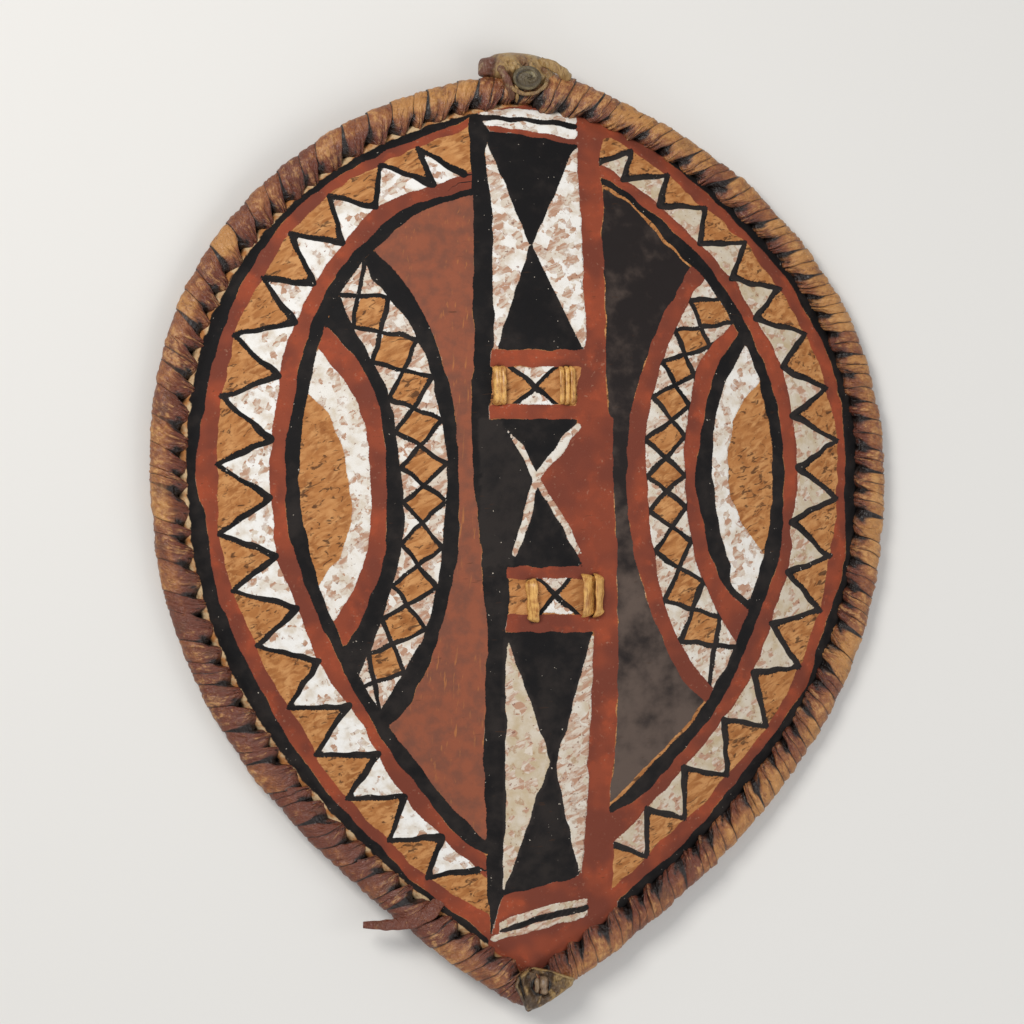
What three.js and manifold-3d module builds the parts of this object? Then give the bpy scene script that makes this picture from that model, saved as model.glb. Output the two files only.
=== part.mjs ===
// A pointed oval hide shield with a bound rim, lying on its rim with its painted face up.
// Millimetres, +Z up. +Y runs from the lower point to the upper end, +X to the right of the painted face.
// The shapes are worked out from the widest level of the outline, on the line of the stave, and the
// finished group is then shifted so that the origin is under the middle of the whole shield.
import * as THREE from "three";
import { mergeVertices } from "three/addons/utils/BufferGeometryUtils.js";
import Module from "manifold-3d";

const wasm = await Module();
wasm.setup();

// Outer edge of the rim, seen from the front
const LEFT_WIDTH = 339;
const RIGHT_WIDTH = 333;
const UPPER_HEIGHT = 352;
const LOWER_HEIGHT = 492;
// Each quarter of the outline is (x / width) ^ (1 / round) + (y / height) ^ power = 1
const LOWER_RIGHT = { width: RIGHT_WIDTH, height: -LOWER_HEIGHT, power: 2.44, round: 1.04 };
const UPPER_RIGHT = { width: RIGHT_WIDTH, height: UPPER_HEIGHT, power: 2.04, round: 0.66 };
const UPPER_LEFT = { width: -LEFT_WIDTH, height: UPPER_HEIGHT, power: 2.29, round: 0.56 };
const LOWER_LEFT = { width: -LEFT_WIDTH, height: -LOWER_HEIGHT, power: 2.23, round: 0.98 };
const QUARTER_SAMPLES = 400;
// Points on each side that the joined outline is averaged over, in two passes
const ROUNDING_REACHES = [13, 6];

// Hide
const HIDE_THICKNESS = 7;
const DOME_RISE = 88;
const DOME_POWER_ACROSS = 1.9;
const DOME_POWER_ALONG = 2.3;
const TIP_LIFT_POWER = 4;
const INNER_RING_SHARES = [0.2, 0.4, 0.6, 0.78, 0.9];
const OUTER_RING_SHARES = [0.96, 1];

// Rim roll, bound with a wound strip of soft leather
const TURNS_PER_SIDE = 52;
const STEPS_PER_TURN = 12;
const RIM_HALF_WIDTH = 15.5;
const RIM_HALF_HEIGHT = 13;
const CREASE_DEPTH = 1.9;
const CREST_PLACE = 0.42;
const TURN_SLANT = 0.6;
const UPPER_TIP_LIFT = 10;
const LOWER_TIP_LIFT = 14;
const UPPER_LIFT_START = 160;
const LOWER_LIFT_START = 230;
const HIDE_EDGE_INSET = 3;
const NOTCH_CLEARANCE = 1.1;
const NOTCH_ROOT_DEPTH = 1.6;
const NOTCH_SLOPE_STEP = 6;
const ROLL_DEGREES = [112, 80, 48, 15, -20, -55, -90, -130];

// Loose tail of the binding strip, as [x, y, height over the rim's middle, width]
const TAIL_THICKNESS = 3;
const TAIL_PATH = [
  [-82, -389, 9.5, 13],
  [-96, -400, 12, 12.5],
  [-112, -406.5, 9.5, 11.5],
  [-131, -408.5, 6.5, 9.5],
  [-151, -408, 5, 6],
];

// Stave behind the hide, with a hand grip that stands away from it
const STAVE_LINE = [
  [-8, 305],
  [-10.5, 69.5],
  [16.5, -115],
  [7, -438],
];
const STAVE_FOOT_WIDTH = 30;
const STAVE_END_WIDTH = 21;
const STAVE_THICKNESS = 13;
const STAVE_END_THICKNESS = 9;
const STAVE_CHAMFER = 4;
const STAVE_SEAT = 1;
const GRIP_WIDTH = 27;
const GRIP_THICKNESS = 20;
const GRIP_BACK_HEIGHT = 33;
const FOOT_HALF_LENGTH = 22;
const BACK_RAMP = 24;
const FRONT_RAMP_START = 13;
const FRONT_RAMP = 23;
const UPPER_END_RINGS = 7;
const RAMP_RINGS = 9;
const LOWER_END_RINGS = 8;

// Rawhide lashings, each with two stitches on the painted face and two crossings behind the stave
const UPPER_LASHING = { x: -10.5, y: 69.5, halfSpan: 30 };
const LOWER_LASHING = { x: 16.5, y: -115, halfSpan: 28 };
const STITCH_WIDTH = 12;
const STITCH_HALF_LENGTH = 17;
const STITCH_THICKNESS = 4;
const STITCH_ARCH = 2;
const STITCH_LIFT = 0.8;
const STITCH_CURVE_STEPS = 4;
const CROSSING_WIDTH = 9;
const CROSSING_THICKNESS = 3.5;
const CROSSING_GAP = 1;
const HOLE_CLEARANCE = 0.6;
const HOLE_DEPTH = 30;

// Leather cap at the upper end, patch at the lower point, and the knot on each
const PIECE_GAP = 0.4;
const ROLL_GAP = 1.2;
const CAP_CENTRE = [-11, 349];
const CAP_HALF_SIZE = [38, 24, 16];
const CAP_LIFT = 2;
const CAP_SIDES = 16;
// The cap stops where it would reach under the hide: width, depth and height of what is cut away
const UNDER_HIDE = { size: [140, 60, 60], backFromCap: 42, belowRoll: 22 };
const CAP_KNOT = { x: -8, y: 344, lift: 18, halfSize: [12.5, 11, 6.5] };
const PATCH_CORNERS = [
  [-18, -463],
  [-2, -448],
  [35, -457],
  [19.5, -474.5],
  [-4, -492],
];
const PATCH_THICKNESS = 5;
const PATCH_SKIRT_LIFT = 6;
const PATCH_BLANK_HEIGHT = 40;
const PATCH_HOLE_RADIUS = 8.5;
const PATCH_HOLE_DEPTH = 60;
const PATCH_HOLE_SIDES = 16;
const PATCH_KNOT = { x: 6.5, y: -466, lift: 14, halfSize: [6.5, 7.5, 4.5] };

const KNOT_SIDES = 12;
const PLAIN_ROLL_SIDES = 14;
const SIDE_STEPS = TURNS_PER_SIDE * STEPS_PER_TURN;
const CURVE_STEPS = SIDE_STEPS * 2;

const smooth = (t) => {
  const k = Math.min(1, Math.max(0, t));
  return k * k * (3 - 2 * k);
};
const mix = (a, b, t) => a + (b - a) * t;

// Rim outline

function quarterPoints(quarter, fromTip) {
  const points = [];
  for (let i = 0; i <= QUARTER_SAMPLES; i++) {
    const turn = ((fromTip ? QUARTER_SAMPLES - i : i) / QUARTER_SAMPLES) * (Math.PI / 2);
    points.push([
      quarter.width * Math.pow(Math.max(0, Math.cos(turn)), 2 * quarter.round),
      quarter.height * Math.pow(Math.sin(turn), 2 / quarter.power),
    ]);
  }
  return points;
}

function evenlySpaced(points, count) {
  const lengths = [0];
  for (let i = 1; i < points.length; i++) {
    const [dx, dy] = [points[i][0] - points[i - 1][0], points[i][1] - points[i - 1][1]];
    lengths.push(lengths[i - 1] + Math.hypot(dx, dy));
  }
  const total = lengths[lengths.length - 1];
  const even = [];
  for (let i = 0, j = 0; i < count; i++) {
    const wanted = (total * i) / count;
    while (lengths[j + 1] < wanted) j++;
    const t = (wanted - lengths[j]) / (lengths[j + 1] - lengths[j]);
    even.push([mix(points[j][0], points[j + 1][0], t), mix(points[j][1], points[j + 1][1], t)]);
  }
  return even;
}

// Averages each point of a closed curve with its neighbours, which rounds the lower point
function averaged(points, reach) {
  const n = points.length;
  return points.map((_, i) => {
    let x = 0;
    let y = 0;
    for (let k = -reach; k <= reach; k++) {
      const p = points[(i + k + n) % n];
      x += p[0];
      y += p[1];
    }
    return [x / (2 * reach + 1), y / (2 * reach + 1)];
  });
}

const wrap = (s) => ((s % CURVE_STEPS) + CURVE_STEPS) % CURVE_STEPS;

function outwardNormals(points) {
  const n = points.length;
  return points.map((_, i) => {
    const before = points[(i - 2 + n) % n];
    const after = points[(i + 2) % n];
    const length = Math.hypot(after[0] - before[0], after[1] - before[1]);
    return [(after[1] - before[1]) / length, (before[0] - after[0]) / length];
  });
}

// The curve starts at the lower point and runs up the right side and down the left
const rightSide = [...quarterPoints(LOWER_RIGHT, true), ...quarterPoints(UPPER_RIGHT, false).slice(1)];
const leftSide = [...quarterPoints(UPPER_LEFT, true), ...quarterPoints(LOWER_LEFT, false).slice(1)];
const joinedSides = [...evenlySpaced(rightSide, SIDE_STEPS), ...evenlySpaced(leftSide, SIDE_STEPS)];
const outerEdge = ROUNDING_REACHES.reduce(averaged, joinedSides);
const outerNormals = outwardNormals(outerEdge);
const rimCentre = outerEdge.map((p, i) => [
  p[0] - RIM_HALF_WIDTH * outerNormals[i][0],
  p[1] - RIM_HALF_WIDTH * outerNormals[i][1],
]);

function tipLift(y) {
  if (y > 0) return UPPER_TIP_LIFT * smooth((y - UPPER_LIFT_START) / (UPPER_HEIGHT - UPPER_LIFT_START));
  return LOWER_TIP_LIFT * smooth((-y - LOWER_LIFT_START) / (LOWER_HEIGHT - LOWER_LIFT_START));
}

// A point of the rim's cross-section at place s along the curve: u outwards, v upwards from its middle
function rimPoint(s, u, v) {
  const low = Math.floor(wrap(s));
  const high = (low + 1) % CURVE_STEPS;
  const t = wrap(s) - low;
  const x = mix(rimCentre[low][0], rimCentre[high][0], t);
  const y = mix(rimCentre[low][1], rimCentre[high][1], t);
  const nx = mix(outerNormals[low][0], outerNormals[high][0], t);
  const ny = mix(outerNormals[low][1], outerNormals[high][1], t);
  return [x + u * nx, y + u * ny, RIM_HALF_HEIGHT + tipLift(y) + v];
}

// Domed hide, as height over the plan

const hideEdge = rimCentre.map((_, i) => {
  const [x, y, z] = rimPoint(i, -HIDE_EDGE_INSET, 0);
  return { angle: Math.atan2(y, x), radius: Math.hypot(x, y), x, y, z };
});
const edgeByAngle = [...hideEdge].sort((a, b) => a.angle - b.angle);

function edgeAt(angle) {
  const n = edgeByAngle.length;
  let low = 0;
  let high = n;
  while (high - low > 1) {
    const middle = (low + high) >> 1;
    if (edgeByAngle[middle].angle <= angle) low = middle;
    else high = middle;
  }
  if (angle < edgeByAngle[0].angle) low = n - 1;
  const a = edgeByAngle[low];
  const b = edgeByAngle[(low + 1) % n];
  const span = (b.angle - a.angle + 2 * Math.PI) % (2 * Math.PI);
  const t = ((angle - a.angle + 2 * Math.PI) % (2 * Math.PI)) / span;
  return { radius: mix(a.radius, b.radius, t), z: mix(a.z, b.z, t) };
}

function domeHeight(x, y) {
  const angle = Math.atan2(y, x);
  const edge = edgeAt(angle);
  const power = mix(DOME_POWER_ACROSS, DOME_POWER_ALONG, Math.sin(angle) ** 2);
  const share = Math.hypot(x, y) / edge.radius;
  const rimLevel = RIM_HALF_HEIGHT + (edge.z - RIM_HALF_HEIGHT) * share ** TIP_LIFT_POWER;
  return rimLevel + DOME_RISE * (1 - share ** power);
}

function domeNormal(x, y) {
  const step = 2;
  return new THREE.Vector3(
    (domeHeight(x - step, y) - domeHeight(x + step, y)) / (2 * step),
    (domeHeight(x, y - step) - domeHeight(x, y + step)) / (2 * step),
    1,
  ).normalize();
}

// Meshes and solids

function meshGeometry(points, faces) {
  return new THREE.BufferGeometry()
    .setAttribute("position", new THREE.BufferAttribute(new Float32Array(points.flat()), 3))
    .setIndex(faces.flat());
}

function solidOf(geometry) {
  const bare = new THREE.BufferGeometry().setAttribute("position", geometry.getAttribute("position"));
  if (geometry.index) bare.setIndex(geometry.index);
  const merged = mergeVertices(bare, 1e-4);
  return new wasm.Manifold(
    new wasm.Mesh({
      numProp: 3,
      vertProperties: merged.attributes.position.array,
      triVerts: new Uint32Array(merged.index.array),
    }),
  );
}

function geometryOf(solid) {
  const mesh = solid.getMesh();
  return new THREE.BufferGeometry()
    .setAttribute("position", new THREE.BufferAttribute(new Float32Array(mesh.vertProperties), 3))
    .setIndex(new THREE.BufferAttribute(new Uint32Array(mesh.triVerts), 1));
}

// Joins a list of rings with the same number of points, closed round each ring. The ends are capped
// unless the list itself closes.
function loft(rings, closes) {
  const size = rings[0].length;
  const faces = [];
  const last = closes ? rings.length : rings.length - 1;
  for (let i = 0; i < last; i++)
    for (let k = 0; k < size; k++) {
      const a = i * size + k;
      const b = i * size + ((k + 1) % size);
      const c = ((i + 1) % rings.length) * size + ((k + 1) % size);
      const d = ((i + 1) % rings.length) * size + k;
      faces.push([a, b, c], [a, c, d]);
    }
  if (!closes)
    for (let k = 1; k < size - 1; k++) {
      const end = (rings.length - 1) * size;
      faces.push([0, k + 1, k], [end, end + k, end + k + 1]);
    }
  return solidOf(meshGeometry(rings.flat(), faces));
}

const block = (w, d, h, x, y, z) => solidOf(new THREE.BoxGeometry(w, d, h).translate(x, y, z));

function ellipsoid(halfSize, x, y, z, sides) {
  const ball = new THREE.SphereGeometry(1, sides, sides / 2).rotateX(Math.PI / 2);
  return solidOf(ball.scale(...halfSize).translate(x, y, z));
}

// Hide shell: rings of points, front and back, twice as many of them in the outer rings

function hideShell(thickness, edgeGrowth) {
  const rings = [
    ...INNER_RING_SHARES.map((share) => ({ share, count: TURNS_PER_SIDE })),
    ...OUTER_RING_SHARES.map((share) => ({ share, count: 2 * TURNS_PER_SIDE })),
  ];
  const middles = [[0, 0]];
  for (const { share, count } of rings)
    for (let j = 0; j < count; j++) {
      const e = hideEdge[(j * CURVE_STEPS) / count];
      const grown = share === 1 ? 1 + edgeGrowth / e.radius : share;
      middles.push([e.x * grown, e.y * grown]);
    }
  const points = [];
  for (const side of [0.5, -0.5])
    for (const [x, y] of middles) {
      const n = domeNormal(x, y).multiplyScalar(side * thickness);
      points.push([x + n.x, y + n.y, domeHeight(x, y) + n.z]);
    }
  const front = [];
  let start = 1;
  for (let j = 0; j < TURNS_PER_SIDE; j++) front.push([0, start + j, start + ((j + 1) % TURNS_PER_SIDE)]);
  for (let r = 0; r + 1 < rings.length; r++) {
    const inner = rings[r].count;
    const outer = rings[r + 1].count;
    const next = start + inner;
    for (let j = 0; j < inner; j++) {
      const a = start + j;
      const b = start + ((j + 1) % inner);
      if (inner === outer) {
        front.push([a, next + j, next + ((j + 1) % outer)], [a, next + ((j + 1) % outer), b]);
        continue;
      }
      const c = next + 2 * j;
      const d = next + ((2 * j + 2) % outer);
      front.push([a, c, c + 1], [a, c + 1, b], [b, c + 1, d]);
    }
    start = next;
  }
  const total = middles.length;
  const faces = [...front, ...front.map(([a, b, c]) => [a + total, c + total, b + total])];
  const edgeCount = rings[rings.length - 1].count;
  for (let j = 0; j < edgeCount; j++) {
    const a = start + j;
    const b = start + ((j + 1) % edgeCount);
    faces.push([a, a + total, b + total], [a, b + total, b]);
  }
  return solidOf(meshGeometry(points, faces));
}

// Rim: a roll with a notch for the hide's edge, and turns that lean as the wound strip does

function notchSlope(s) {
  const [x, y] = rimPoint(s, -HIDE_EDGE_INSET, 0);
  const [ix, iy] = rimPoint(s, -HIDE_EDGE_INSET - NOTCH_SLOPE_STEP, 0);
  return Math.atan((domeHeight(ix, iy) - domeHeight(x, y)) / NOTCH_SLOPE_STEP);
}

function notchLip(slope, side, a, b) {
  const half = HIDE_THICKNESS / 2 + NOTCH_CLEARANCE;
  const start = [-HIDE_EDGE_INSET + side * half * Math.sin(slope), side * half * Math.cos(slope)];
  const way = [-Math.cos(slope), Math.sin(slope)];
  const qa = (way[0] / a) ** 2 + (way[1] / b) ** 2;
  const qb = (start[0] * way[0]) / a ** 2 + (start[1] * way[1]) / b ** 2;
  const qc = (start[0] / a) ** 2 + (start[1] / b) ** 2 - 1;
  const along = (-qb + Math.sqrt(qb * qb - qa * qc)) / qa;
  const at = (t) => [start[0] + t * way[0], start[1] + t * way[1]];
  return { lip: at(along), root: at(-NOTCH_ROOT_DEPTH) };
}

function rimRing(place, shrink) {
  const a = RIM_HALF_WIDTH - shrink;
  const b = RIM_HALF_HEIGHT - shrink;
  const slope = notchSlope(place * STEPS_PER_TURN);
  const upper = notchLip(slope, 1, a, b);
  const lower = notchLip(slope, -1, a, b);
  const section = [
    upper.lip,
    ...ROLL_DEGREES.map((degrees) => {
      const angle = (degrees * Math.PI) / 180;
      return [a * Math.cos(angle), b * Math.sin(angle)];
    }),
    lower.lip,
    lower.root,
    upper.root,
  ];
  return section.map(([u, v]) => {
    const lean = (TURN_SLANT * (1 - u / RIM_HALF_WIDTH)) / 2;
    return rimPoint((place + lean) * STEPS_PER_TURN, u, v);
  });
}

function rimRoll() {
  const rings = [];
  for (let turn = 0; turn < 2 * TURNS_PER_SIDE; turn++) {
    rings.push(rimRing(turn, CREASE_DEPTH));
    rings.push(rimRing(turn + CREST_PLACE, 0));
  }
  return loft(rings, true);
}

// A plain ring round the rim's middle line, used to fit the cap and the patch to the roll
function plainRoll(growth) {
  const rings = [];
  for (let place = 0; place < 2 * TURNS_PER_SIDE; place += 0.5) {
    const ring = [];
    for (let k = 0; k < PLAIN_ROLL_SIDES; k++) {
      const angle = (-k / PLAIN_ROLL_SIDES) * 2 * Math.PI;
      const u = (RIM_HALF_WIDTH + growth) * Math.cos(angle);
      const v = (RIM_HALF_HEIGHT + growth) * Math.sin(angle);
      ring.push(rimPoint(place * STEPS_PER_TURN, u, v));
    }
    rings.push(ring);
  }
  return loft(rings, true);
}

function bindingTail() {
  const rings = TAIL_PATH.map(([x, y, lift, width], i) => {
    const before = TAIL_PATH[Math.max(0, i - 1)];
    const after = TAIL_PATH[Math.min(TAIL_PATH.length - 1, i + 1)];
    const length = Math.hypot(after[0] - before[0], after[1] - before[1]);
    const halfX = (-(after[1] - before[1]) / length) * (width / 2);
    const halfY = ((after[0] - before[0]) / length) * (width / 2);
    const low = RIM_HALF_HEIGHT + tipLift(y) + lift;
    const high = low + TAIL_THICKNESS;
    return [
      [x + halfX, y + halfY, low],
      [x + halfX, y + halfY, high],
      [x - halfX, y - halfY, high],
      [x - halfX, y - halfY, low],
    ];
  });
  return loft(rings, false);
}

// Stave: cross-sections over y, with the grip's front and back sloping away from the feet

function staveX(y) {
  let i = 0;
  while (i < STAVE_LINE.length - 2 && y < STAVE_LINE[i + 1][1]) i++;
  const [x0, y0] = STAVE_LINE[i];
  const [x1, y1] = STAVE_LINE[i + 1];
  return mix(x0, x1, smooth((y0 - y) / (y0 - y1)));
}

function gripShare(y, start, ramp) {
  const fromUpper = UPPER_LASHING.y - FOOT_HALF_LENGTH - start - y;
  const fromLower = y - (LOWER_LASHING.y + FOOT_HALF_LENGTH + start);
  return smooth(Math.min(fromUpper, fromLower) / ramp);
}

function staveRing(y) {
  const x = staveX(y);
  const grip = gripShare(y, 0, BACK_RAMP);
  const footEnd = y > 0 ? UPPER_LASHING.y + FOOT_HALF_LENGTH : LOWER_LASHING.y - FOOT_HALF_LENGTH;
  const end = y > 0 ? STAVE_LINE[0][1] : STAVE_LINE[3][1];
  const taper = smooth((y - footEnd) / (end - footEnd));
  const width = mix(mix(STAVE_FOOT_WIDTH, STAVE_END_WIDTH, taper), GRIP_WIDTH, grip);
  const thickness = mix(STAVE_THICKNESS, STAVE_END_THICKNESS, taper);
  const n = domeNormal(x, y);
  const footFront = domeHeight(x, y) - (HIDE_THICKNESS / 2 - STAVE_SEAT) / n.z;
  const front = mix(footFront, GRIP_BACK_HEIGHT + GRIP_THICKNESS, gripShare(y, FRONT_RAMP_START, FRONT_RAMP));
  const back = mix(footFront - thickness / n.z, GRIP_BACK_HEIGHT, grip);
  const h = width / 2;
  const c = STAVE_CHAMFER;
  return [
    [x - h + c, y, front],
    [x - h, y, front - c],
    [x - h, y, back + c],
    [x - h + c, y, back],
    [x + h - c, y, back],
    [x + h, y, back + c],
    [x + h, y, front - c],
    [x + h - c, y, front],
  ];
}

function staveSolid() {
  const upperFoot = UPPER_LASHING.y - FOOT_HALF_LENGTH;
  const lowerFoot = LOWER_LASHING.y + FOOT_HALF_LENGTH;
  const rampEnd = FRONT_RAMP_START + FRONT_RAMP;
  const places = [];
  for (let i = 0; i < UPPER_END_RINGS; i++)
    places.push(mix(STAVE_LINE[0][1], upperFoot, i / UPPER_END_RINGS));
  for (let i = 0; i <= RAMP_RINGS; i++) places.push(upperFoot - (rampEnd * i) / RAMP_RINGS);
  for (let i = RAMP_RINGS; i >= 0; i--) places.push(lowerFoot + (rampEnd * i) / RAMP_RINGS);
  for (let i = 1; i <= LOWER_END_RINGS; i++)
    places.push(mix(lowerFoot, STAVE_LINE[3][1], i / LOWER_END_RINGS));
  return loft(places.map(staveRing), false);
}

// Lashings

// Placed by the tilt of the hide at the lashing: x and y along the face, z out of it
function lashingPlace(lashing) {
  const n = domeNormal(lashing.x, lashing.y);
  const tilt = Math.atan2(-n.y, n.z);
  const z = domeHeight(lashing.x, lashing.y) + HIDE_THICKNESS / 2 / n.z;
  return new THREE.Matrix4()
    .makeTranslation(lashing.x, lashing.y, z)
    .multiply(new THREE.Matrix4().makeRotationX(tilt));
}

function placed(solid, matrix) {
  return solidOf(geometryOf(solid).applyMatrix4(matrix));
}

const BEHIND_STAVE = -(HIDE_THICKNESS - STAVE_SEAT + STAVE_THICKNESS + CROSSING_GAP);

// One stitch: an arched bar on the face with two legs that pass through the hide
function stitch(x, faceHeight) {
  const reach = STITCH_HALF_LENGTH;
  const leg = STITCH_THICKNESS;
  const foot = BEHIND_STAVE - CROSSING_THICKNESS;
  const top = faceHeight + STITCH_LIFT + STITCH_THICKNESS;
  const shape = new THREE.Shape();
  shape.moveTo(-reach, foot);
  shape.lineTo(-reach + leg, foot);
  shape.lineTo(-reach + leg, faceHeight + STITCH_LIFT);
  shape.lineTo(reach - leg, faceHeight + STITCH_LIFT);
  shape.lineTo(reach - leg, foot);
  shape.lineTo(reach, foot);
  shape.lineTo(reach, top - leg);
  shape.quadraticCurveTo(reach, top, reach - leg, top);
  shape.quadraticCurveTo(0, top + STITCH_ARCH, -reach + leg, top);
  shape.quadraticCurveTo(-reach, top, -reach, top - leg);
  const bar = new THREE.ExtrudeGeometry(shape, {
    depth: STITCH_WIDTH,
    bevelEnabled: false,
    curveSegments: STITCH_CURVE_STEPS,
  });
  // The drawn side view lies in y and z, and the bar is drawn out along x
  bar.applyMatrix4(new THREE.Matrix4().set(0, 0, 1, 0, 1, 0, 0, 0, 0, 1, 0, 0, 0, 0, 0, 1));
  return solidOf(bar.translate(x - STITCH_WIDTH / 2, 0, 0));
}

function lashingSolids(lashing) {
  const matrix = lashingPlace(lashing);
  const n = domeNormal(lashing.x, lashing.y);
  const middle = domeHeight(lashing.x, lashing.y);
  let thong = null;
  let holes = null;
  for (const side of [-1, 1]) {
    const x = side * lashing.halfSpan;
    const fall = (domeHeight(lashing.x + x, lashing.y) - middle) * n.z;
    const bar = stitch(x, fall);
    thong = thong ? thong.add(bar) : bar;
    for (const end of [-1, 1]) {
      const y = end * (STITCH_HALF_LENGTH - STITCH_THICKNESS / 2);
      const width = STITCH_WIDTH + 2 * HOLE_CLEARANCE;
      const hole = block(width, STITCH_THICKNESS + 2 * HOLE_CLEARANCE, HOLE_DEPTH, x, y, 0);
      holes = holes ? holes.add(hole) : hole;
    }
  }
  for (const end of [-1, 1]) {
    const y = end * (STITCH_HALF_LENGTH - CROSSING_WIDTH / 2);
    const span = 2 * lashing.halfSpan + STITCH_WIDTH;
    const z = BEHIND_STAVE - CROSSING_THICKNESS / 2;
    thong = thong.add(block(span, CROSSING_WIDTH, CROSSING_THICKNESS, 0, y, z));
  }
  return { thong: placed(thong, matrix), holes: placed(holes, matrix) };
}

// Cap, patch and knots

const upperMiddle = RIM_HALF_HEIGHT + UPPER_TIP_LIFT;
const lowerMiddle = RIM_HALF_HEIGHT + LOWER_TIP_LIFT;

function knot({ x, y, lift, halfSize }, middle, growth) {
  return ellipsoid(halfSize.map((h) => h + growth), x, y, middle + lift, KNOT_SIDES);
}

function capSolid(clearRoll, clearHide) {
  const lump = ellipsoid(CAP_HALF_SIZE, ...CAP_CENTRE, upperMiddle + CAP_LIFT, CAP_SIDES);
  const { size, backFromCap, belowRoll } = UNDER_HIDE;
  const underHide = block(...size, 0, CAP_CENTRE[1] - backFromCap, upperMiddle - belowRoll);
  return lump
    .subtract(underHide)
    .subtract(clearRoll)
    .subtract(clearHide)
    .subtract(knot(CAP_KNOT, upperMiddle, PIECE_GAP));
}

function patchSolid(clearRoll, clearHide) {
  const shape = new THREE.Shape(PATCH_CORNERS.map(([x, y]) => new THREE.Vector2(x, y)));
  const skirt = lowerMiddle + PATCH_SKIRT_LIFT;
  const blank = new THREE.ExtrudeGeometry(shape, { depth: PATCH_BLANK_HEIGHT, bevelEnabled: false });
  const radius = PATCH_HOLE_RADIUS;
  const hole = new THREE.CylinderGeometry(radius, radius, PATCH_HOLE_DEPTH, PATCH_HOLE_SIDES)
    .rotateX(Math.PI / 2)
    .translate(PATCH_KNOT.x, PATCH_KNOT.y, lowerMiddle);
  return solidOf(blank.translate(0, 0, skirt))
    .intersect(plainRoll(PATCH_THICKNESS))
    .subtract(clearRoll)
    .subtract(clearHide)
    .subtract(solidOf(hole));
}

// Assembly

const PAINTED_HIDE = new THREE.MeshStandardMaterial({ color: 0x8a4a34, roughness: 0.75 });
const RIM_LEATHER = new THREE.MeshStandardMaterial({ color: 0xa06a3c, roughness: 0.6 });
const RAWHIDE = new THREE.MeshStandardMaterial({ color: 0xb98444, roughness: 0.5 });
const STAVE_WOOD = new THREE.MeshStandardMaterial({ color: 0x6b4a2c, roughness: 0.7 });
const CAP_LEATHER = new THREE.MeshStandardMaterial({ color: 0x8a7350, roughness: 0.65 });

const shield = new THREE.Group();

function addPiece(name, solid, material) {
  const mesh = new THREE.Mesh(geometryOf(solid), material);
  mesh.name = name;
  shield.add(mesh);
}

const upperLashing = lashingSolids(UPPER_LASHING);
const lowerLashing = lashingSolids(LOWER_LASHING);
const clearRoll = plainRoll(ROLL_GAP);
const clearHide = hideShell(HIDE_THICKNESS + 2 * PIECE_GAP, PIECE_GAP);
const lashingHoles = upperLashing.holes.add(lowerLashing.holes);

addPiece("hide_shell", hideShell(HIDE_THICKNESS, 0).subtract(lashingHoles), PAINTED_HIDE);
addPiece("rim_binding", rimRoll().add(bindingTail().subtract(clearHide)), RIM_LEATHER);
addPiece("grip_stave", staveSolid().subtract(clearHide), STAVE_WOOD);
addPiece("upper_grip_lashing", upperLashing.thong, RAWHIDE);
addPiece("lower_grip_lashing", lowerLashing.thong, RAWHIDE);
addPiece("upper_end_cap", capSolid(clearRoll, clearHide), CAP_LEATHER);
addPiece("upper_end_knot", knot(CAP_KNOT, upperMiddle, 0), CAP_LEATHER);
addPiece("lower_end_patch", patchSolid(clearRoll, clearHide), CAP_LEATHER);
addPiece("lower_end_knot", knot(PATCH_KNOT, lowerMiddle, 0).subtract(clearRoll), RAWHIDE);

// The origin goes on the surface that the shield lies on, under the middle of its box
const box = new THREE.Box3().setFromObject(shield);
const middle = box.getCenter(new THREE.Vector3());
shield.position.set(-middle.x, -middle.y, -box.min.z);

export default shield;
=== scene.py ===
"""The looks of a painted hide shield with a bound rim, lying with its painted face up.

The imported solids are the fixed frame. Shapes are worked out in millimetres from the widest level of
the outline, on the line of the stave, and each mesh is written in metres in the frame of the solids.
"""

import logging
from dataclasses import dataclass, field
from enum import Enum

import bpy
import numpy as np
from mathutils import Matrix, Vector

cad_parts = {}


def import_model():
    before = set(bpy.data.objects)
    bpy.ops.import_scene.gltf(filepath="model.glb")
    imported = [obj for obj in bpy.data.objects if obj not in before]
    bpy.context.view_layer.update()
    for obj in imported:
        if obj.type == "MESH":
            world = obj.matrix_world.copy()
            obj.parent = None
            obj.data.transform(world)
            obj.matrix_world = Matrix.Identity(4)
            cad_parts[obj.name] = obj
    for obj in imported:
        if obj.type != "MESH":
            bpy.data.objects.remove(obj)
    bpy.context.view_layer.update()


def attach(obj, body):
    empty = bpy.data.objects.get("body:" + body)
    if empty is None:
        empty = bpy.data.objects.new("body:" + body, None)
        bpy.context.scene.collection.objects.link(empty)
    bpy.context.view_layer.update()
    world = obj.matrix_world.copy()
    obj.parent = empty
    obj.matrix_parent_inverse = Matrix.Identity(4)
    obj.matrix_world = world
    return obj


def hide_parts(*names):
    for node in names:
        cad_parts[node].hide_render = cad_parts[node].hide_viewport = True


LOG = logging.getLogger("hide_shield")

MM = 0.001
BODY = "root"

# Place, in the frame of the solids, of the widest level of the outline on the stave's line
WIDEST_PLACE = (3.035, 58.235, 0.0)

# A distance at which a painted edge no longer matters
NEAR = 12.0

# How far outside its edge a colour still sets the wear, and a black line its distances
WEAR_MARGIN = 1.5
LINE_MARGIN = 6.0

# More than any distance on the shield
FAR = 1e6

# Distance from the rim's middle line past which it isn't worked out
FAR_FROM_RIM = 60.0

# Painted lines are given by where they cross level lines, from the highest one down
TOP_LEVEL = 316.8
LEVEL_STEP = 36.0

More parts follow.
